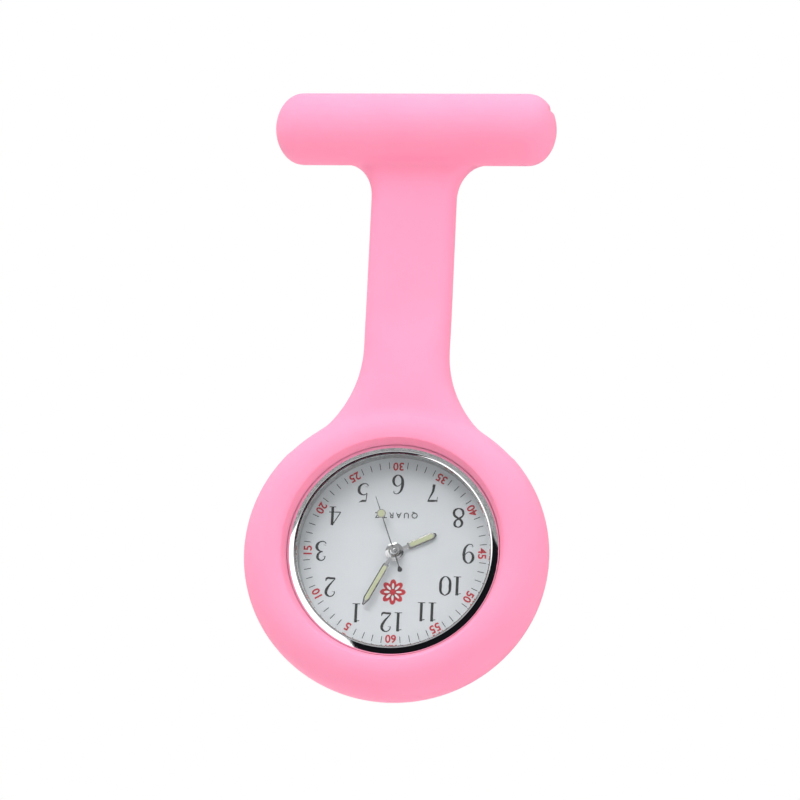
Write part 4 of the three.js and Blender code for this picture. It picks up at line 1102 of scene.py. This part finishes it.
def hand(name, node, body, degrees, start, end, half, taper, neck_half, boss):
    """A bevelled blade on a neck and boss, with a luminous strip let into it."""
    low = back_of(node)
    high = low + HAND_THICK
    blade = roofed(blade_outline(start, end, half, taper, half * 0.3), low, high, half * 0.34)
    neck = block((-neck_half, boss - 0.2, low), (neck_half, start + 0.15, high - 0.03))
    neck = softened(neck, 0.05, segments=1)
    dip = high - 0.06
    ring = [(0.5, low), (boss - 0.05, low), (boss, low + 0.05), (boss, high - 0.05)]
    ring += [(boss - 0.12, high), (boss - 0.42, high), (boss - 0.5, dip), (0.5, dip)]
    parts = pointed(gathered(blade, neck, turned(ring, 96)), degrees)
    piece(name, at_head(parts), body, [HAND_STEEL, PAINTED_SHADE_EDGE], (node,), 25)
    strip_half, strip_end = half * 0.6, end - taper * 0.75
    strip = blade_outline(start + 0.35, strip_end, strip_half, taper * 0.45, strip_half * 0.35)
    lume = softened(slab(strip, high - 0.02, high + 0.025), 0.02, segments=1)
    head_piece(name + "_lume", pointed(lume, degrees), LUME, (), body)


def seconds_hand():
    """A thin two-part shaft with an eye near its point, a cap, and a round weight at its tail."""
    low = back_of("second_hand")
    high = low + SECONDS_THICK
    cap_front = front_of("second_hand")
    shaft = slab([(-0.07, -2.4), (0.07, -2.4), (0.06, 5.1), (-0.06, 5.1)], low, high)
    point = slab([(-0.06, 6.25), (0.06, 6.25), (0.035, 8.3), (-0.035, 8.3)], low, high)
    # The shaft and point take the dark edge steel all over: painted shade, as round the other
    # hands.
    for line in (shaft, point):
        for face in line.faces:
            face.material_index = 1
    eye = moved(turned(band(0.5, SECONDS_EYE_R, low, high), 48), 0, SECONDS_EYE_Y)
    cap = [(0, low), (BOSS_CAP, low), (BOSS_CAP, high + 0.05), (BOSS_CAP - 0.06, cap_front - 0.02)]
    cap += [(0.36, cap_front), (0.3, cap_front - 0.09), (0.22, cap_front - 0.09)]
    cap += [(0.17, cap_front), (0, cap_front)]
    shaft, point = softened(shaft, 0.015, segments=1), softened(point, 0.01, segments=1)
    steel = at_head(pointed(gathered(shaft, point, eye, turned(cap, 64)), SECOND_ANGLE))
    finishes = [HAND_STEEL, PAINTED_SHADE_EDGE]
    piece("seconds_hand", steel, "seconds", finishes, ("second_hand",))
    disc = [(0, low + 0.02), (0.51, low + 0.02), (0.51, high + 0.01), (0, high + 0.02)]
    lume = pointed(moved(turned(disc, 40), 0, SECONDS_EYE_Y), SECOND_ANGLE)
    head_piece("seconds_lume", lume, LUME, (), "seconds")
    drop = arc((0, -2.85), (0.35, 0.35), 180, 360, 20) + [(0.12, -2.35), (-0.12, -2.35)]
    weight = pointed(softened(slab(drop, low, high + 0.01), 0.02, segments=1), SECOND_ANGLE)
    head_piece("seconds_counterweight", weight, DARK_TIP, (), "seconds")


hand(
    "hours_hand", "hour_hand", "hours", HOUR_ANGLE,
    start=2.05, end=6.4, half=0.525, taper=0.55, neck_half=0.3, boss=BOSS_HOUR,
)
hand(
    "minutes_hand", "minute_hand", "minutes", MINUTE_ANGLE,
    start=2.05, end=8.75, half=0.45, taper=1.0, neck_half=0.25, boss=BOSS_MINUTE,
)
seconds_hand()

# ---- finishes of the pieces that keep their first shape -----------------------------------

CARRIED = (
    (CHROME, ("case_ring", "crown")),
    (BLACK_RUBBER, ("caseback_gasket",)),
    (WHITE_ACETAL, ("crystal_gasket", "movement_ring")),
    (PLATE_BRASS, ("main_plate",)),
    (PLATE_STEEL, ("train_bridge", "stator", "coil_core", "battery")),
    (PLATE_STEEL, ("battery_clamp", "setting_lever")),
    (HAND_STEEL, ("bridge_screw_1", "bridge_screw_2", "bridge_screw_3")),
    (HAND_STEEL, ("quartz_can", "cannon_pinion")),
    (PIN_STEEL, ("setting_stem", "crown_tube")),
    (COPPER_WIRE, ("coil_winding",)),
    (BOARD_GREEN, ("circuit_board",)),
    (ROTOR_GREY, ("step_rotor",)),
    (TURNED_BRASS, ("dial_washer", "hour_wheel", "minute_wheel", "centre_wheel")),
    (TURNED_BRASS, ("third_wheel", "fourth_wheel", "fifth_wheel")),
)
for material, names in CARRIED:
    for node in names:
        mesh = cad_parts[node].data
        mesh.materials.clear()
        mesh.materials.append(material)

# ---- studio -------------------------------------------------------------------------------

scene = bpy.context.scene
CENTRE = Vector((-0.00005, -0.0095, HEAD_Y * MM + 0.02175))
CAMERA_AZIMUTH = math.radians(8)
CAMERA_ELEVATION = math.radians(-14)
TO_CAMERA = Vector((
    math.sin(CAMERA_AZIMUTH) * math.cos(CAMERA_ELEVATION),
    -math.cos(CAMERA_AZIMUTH) * math.cos(CAMERA_ELEVATION),
    math.sin(CAMERA_ELEVATION),
))
CAMERA_DISTANCE = 0.55
CAMERA_LENS = 174.5
CAMERA_ROLL = 2.7
FLOOR_Z = -0.3
FLOOR_HALF = 6
# Round the dial: where the dark curtain starts, where it meets the window, and the window's end.
CURTAIN_FROM, WINDOW_FROM, WINDOW_TO = 5, -113, -187
# Where a mirror lying flat on the dial would send the camera's view.
FLAT_MIRROR = Vector((-TO_CAMERA.x, TO_CAMERA.y, -TO_CAMERA.z))


def studio_camera():
    data = bpy.data.cameras.new("camera")
    data.sensor_width = 36
    data.lens = CAMERA_LENS
    data.clip_start, data.clip_end = 0.01, 20
    camera = linked("camera", data)
    camera.rotation_mode = "QUATERNION"
    camera.location = CENTRE + TO_CAMERA * CAMERA_DISTANCE
    roll = Matrix.Rotation(math.radians(CAMERA_ROLL), 3, "Z").to_quaternion()
    camera.rotation_quaternion = (-TO_CAMERA).to_track_quat("-Z", "Y") @ roll
    scene.camera = camera


def lamp(name, direction, distance, size, power):
    """A square area light aimed at the watch."""
    data = bpy.data.lights.new(name, "AREA")
    data.shape = "SQUARE"
    data.size = size
    data.energy = power
    ob = linked(name, data)
    direction = Vector(direction).normalized()
    ob.rotation_mode = "QUATERNION"
    ob.location = CENTRE + direction * distance
    ob.rotation_quaternion = (-direction).to_track_quat("-Z", "Y")
    ob.visible_glossy = False


def studio_world():
    """Plain white behind the watch, a soft tent for light, and a room for reflections."""
    world = bpy.data.worlds.new("studio")
    scene.world = world
    world.use_nodes = True
    world.node_tree.nodes.clear()
    nodes = Nodes(world.node_tree)
    way = nodes.add("ShaderNodeTexCoord").outputs["Generated"]

    def towards(direction, low, high):
        """A soft-edged round patch of the room about one direction."""
        middle = nodes.add("ShaderNodeCombineXYZ", dict(zip("XYZ", direction))).outputs[0]
        near = nodes.add("ShaderNodeVectorMath", {0: way, 1: middle}, operation="DOT_PRODUCT")
        return nodes.ramp(near.outputs["Value"], low, high)

    def clockwise_of(degrees):
        """Half of the room, clockwise of a line through the flat mirror's direction."""
        angle = math.radians(degrees)
        across = Vector((math.sin(angle), 0, -math.cos(angle)))
        across -= FLAT_MIRROR * across.dot(FLAT_MIRROR)
        return towards(across.normalized(), -0.01, 0.01)

    height = nodes.add("ShaderNodeSeparateXYZ", {"Vector": way}).outputs["Z"]
    tent = nodes.mix(nodes.ramp(height, -0.9, 0.9), (0.38, 0.38, 0.39, 1), (0.98, 0.98, 0.99, 1))
    mottle = nodes.ramp(nodes.noise(way, 80.0, 5.0, 0.8), 0.42, 0.58, 0.03, 0.7)
    grey = {"Red": mottle, "Green": mottle, "Blue": mottle}
    wall = nodes.add("ShaderNodeCombineColor", grey).outputs[0]
    past_right, past_foot = clockwise_of(CURTAIN_FROM), clockwise_of(WINDOW_FROM)
    past_left = clockwise_of(WINDOW_TO)
    window = nodes.math("SUBTRACT", past_foot, past_left)
    curtain = nodes.math("MULTIPLY", past_right, nodes.math("SUBTRACT", 1.0, past_foot))
    room = nodes.mix(window, wall, (1.7, 1.7, 1.7, 1))
    room = nodes.mix(curtain, room, (0.008, 0.008, 0.01, 1))
    mirrored = nodes.mix(towards(FLAT_MIRROR, 0.985, 0.99), room, (0.6, 0.6, 0.61, 1))
    path = nodes.add("ShaderNodeLightPath").outputs
    light = nodes.mix(path["Is Glossy Ray"], tent, mirrored)
    seen = nodes.mix(path["Is Camera Ray"], light, (1, 1, 1, 1))
    background = nodes.add("ShaderNodeBackground", {"Color": seen, "Strength": 1.0})
    output = nodes.add("ShaderNodeOutputWorld")
    nodes.feed(output.inputs["Surface"], background.outputs[0])


def studio_floor():
    mesh = bpy.data.meshes.new("floor")
    bm = bmesh.new()
    below = Matrix.Translation((0, 0, FLOOR_Z))
    bmesh.ops.create_grid(bm, x_segments=1, y_segments=1, size=FLOOR_HALF, matrix=below)
    bm.to_mesh(mesh)
    bm.free()
    mesh.materials.append(floor_finish())
    floor = linked("floor", mesh)
    floor.visible_glossy = False


studio_camera()
studio_world()
studio_floor()
lamp("key", (-0.35, -0.6, 1.0), 0.8, 0.5, 5.0)
lamp("fill", (1.0, -0.5, 0.1), 0.9, 0.6, 2.2)
scene.view_settings.view_transform = "Standard"
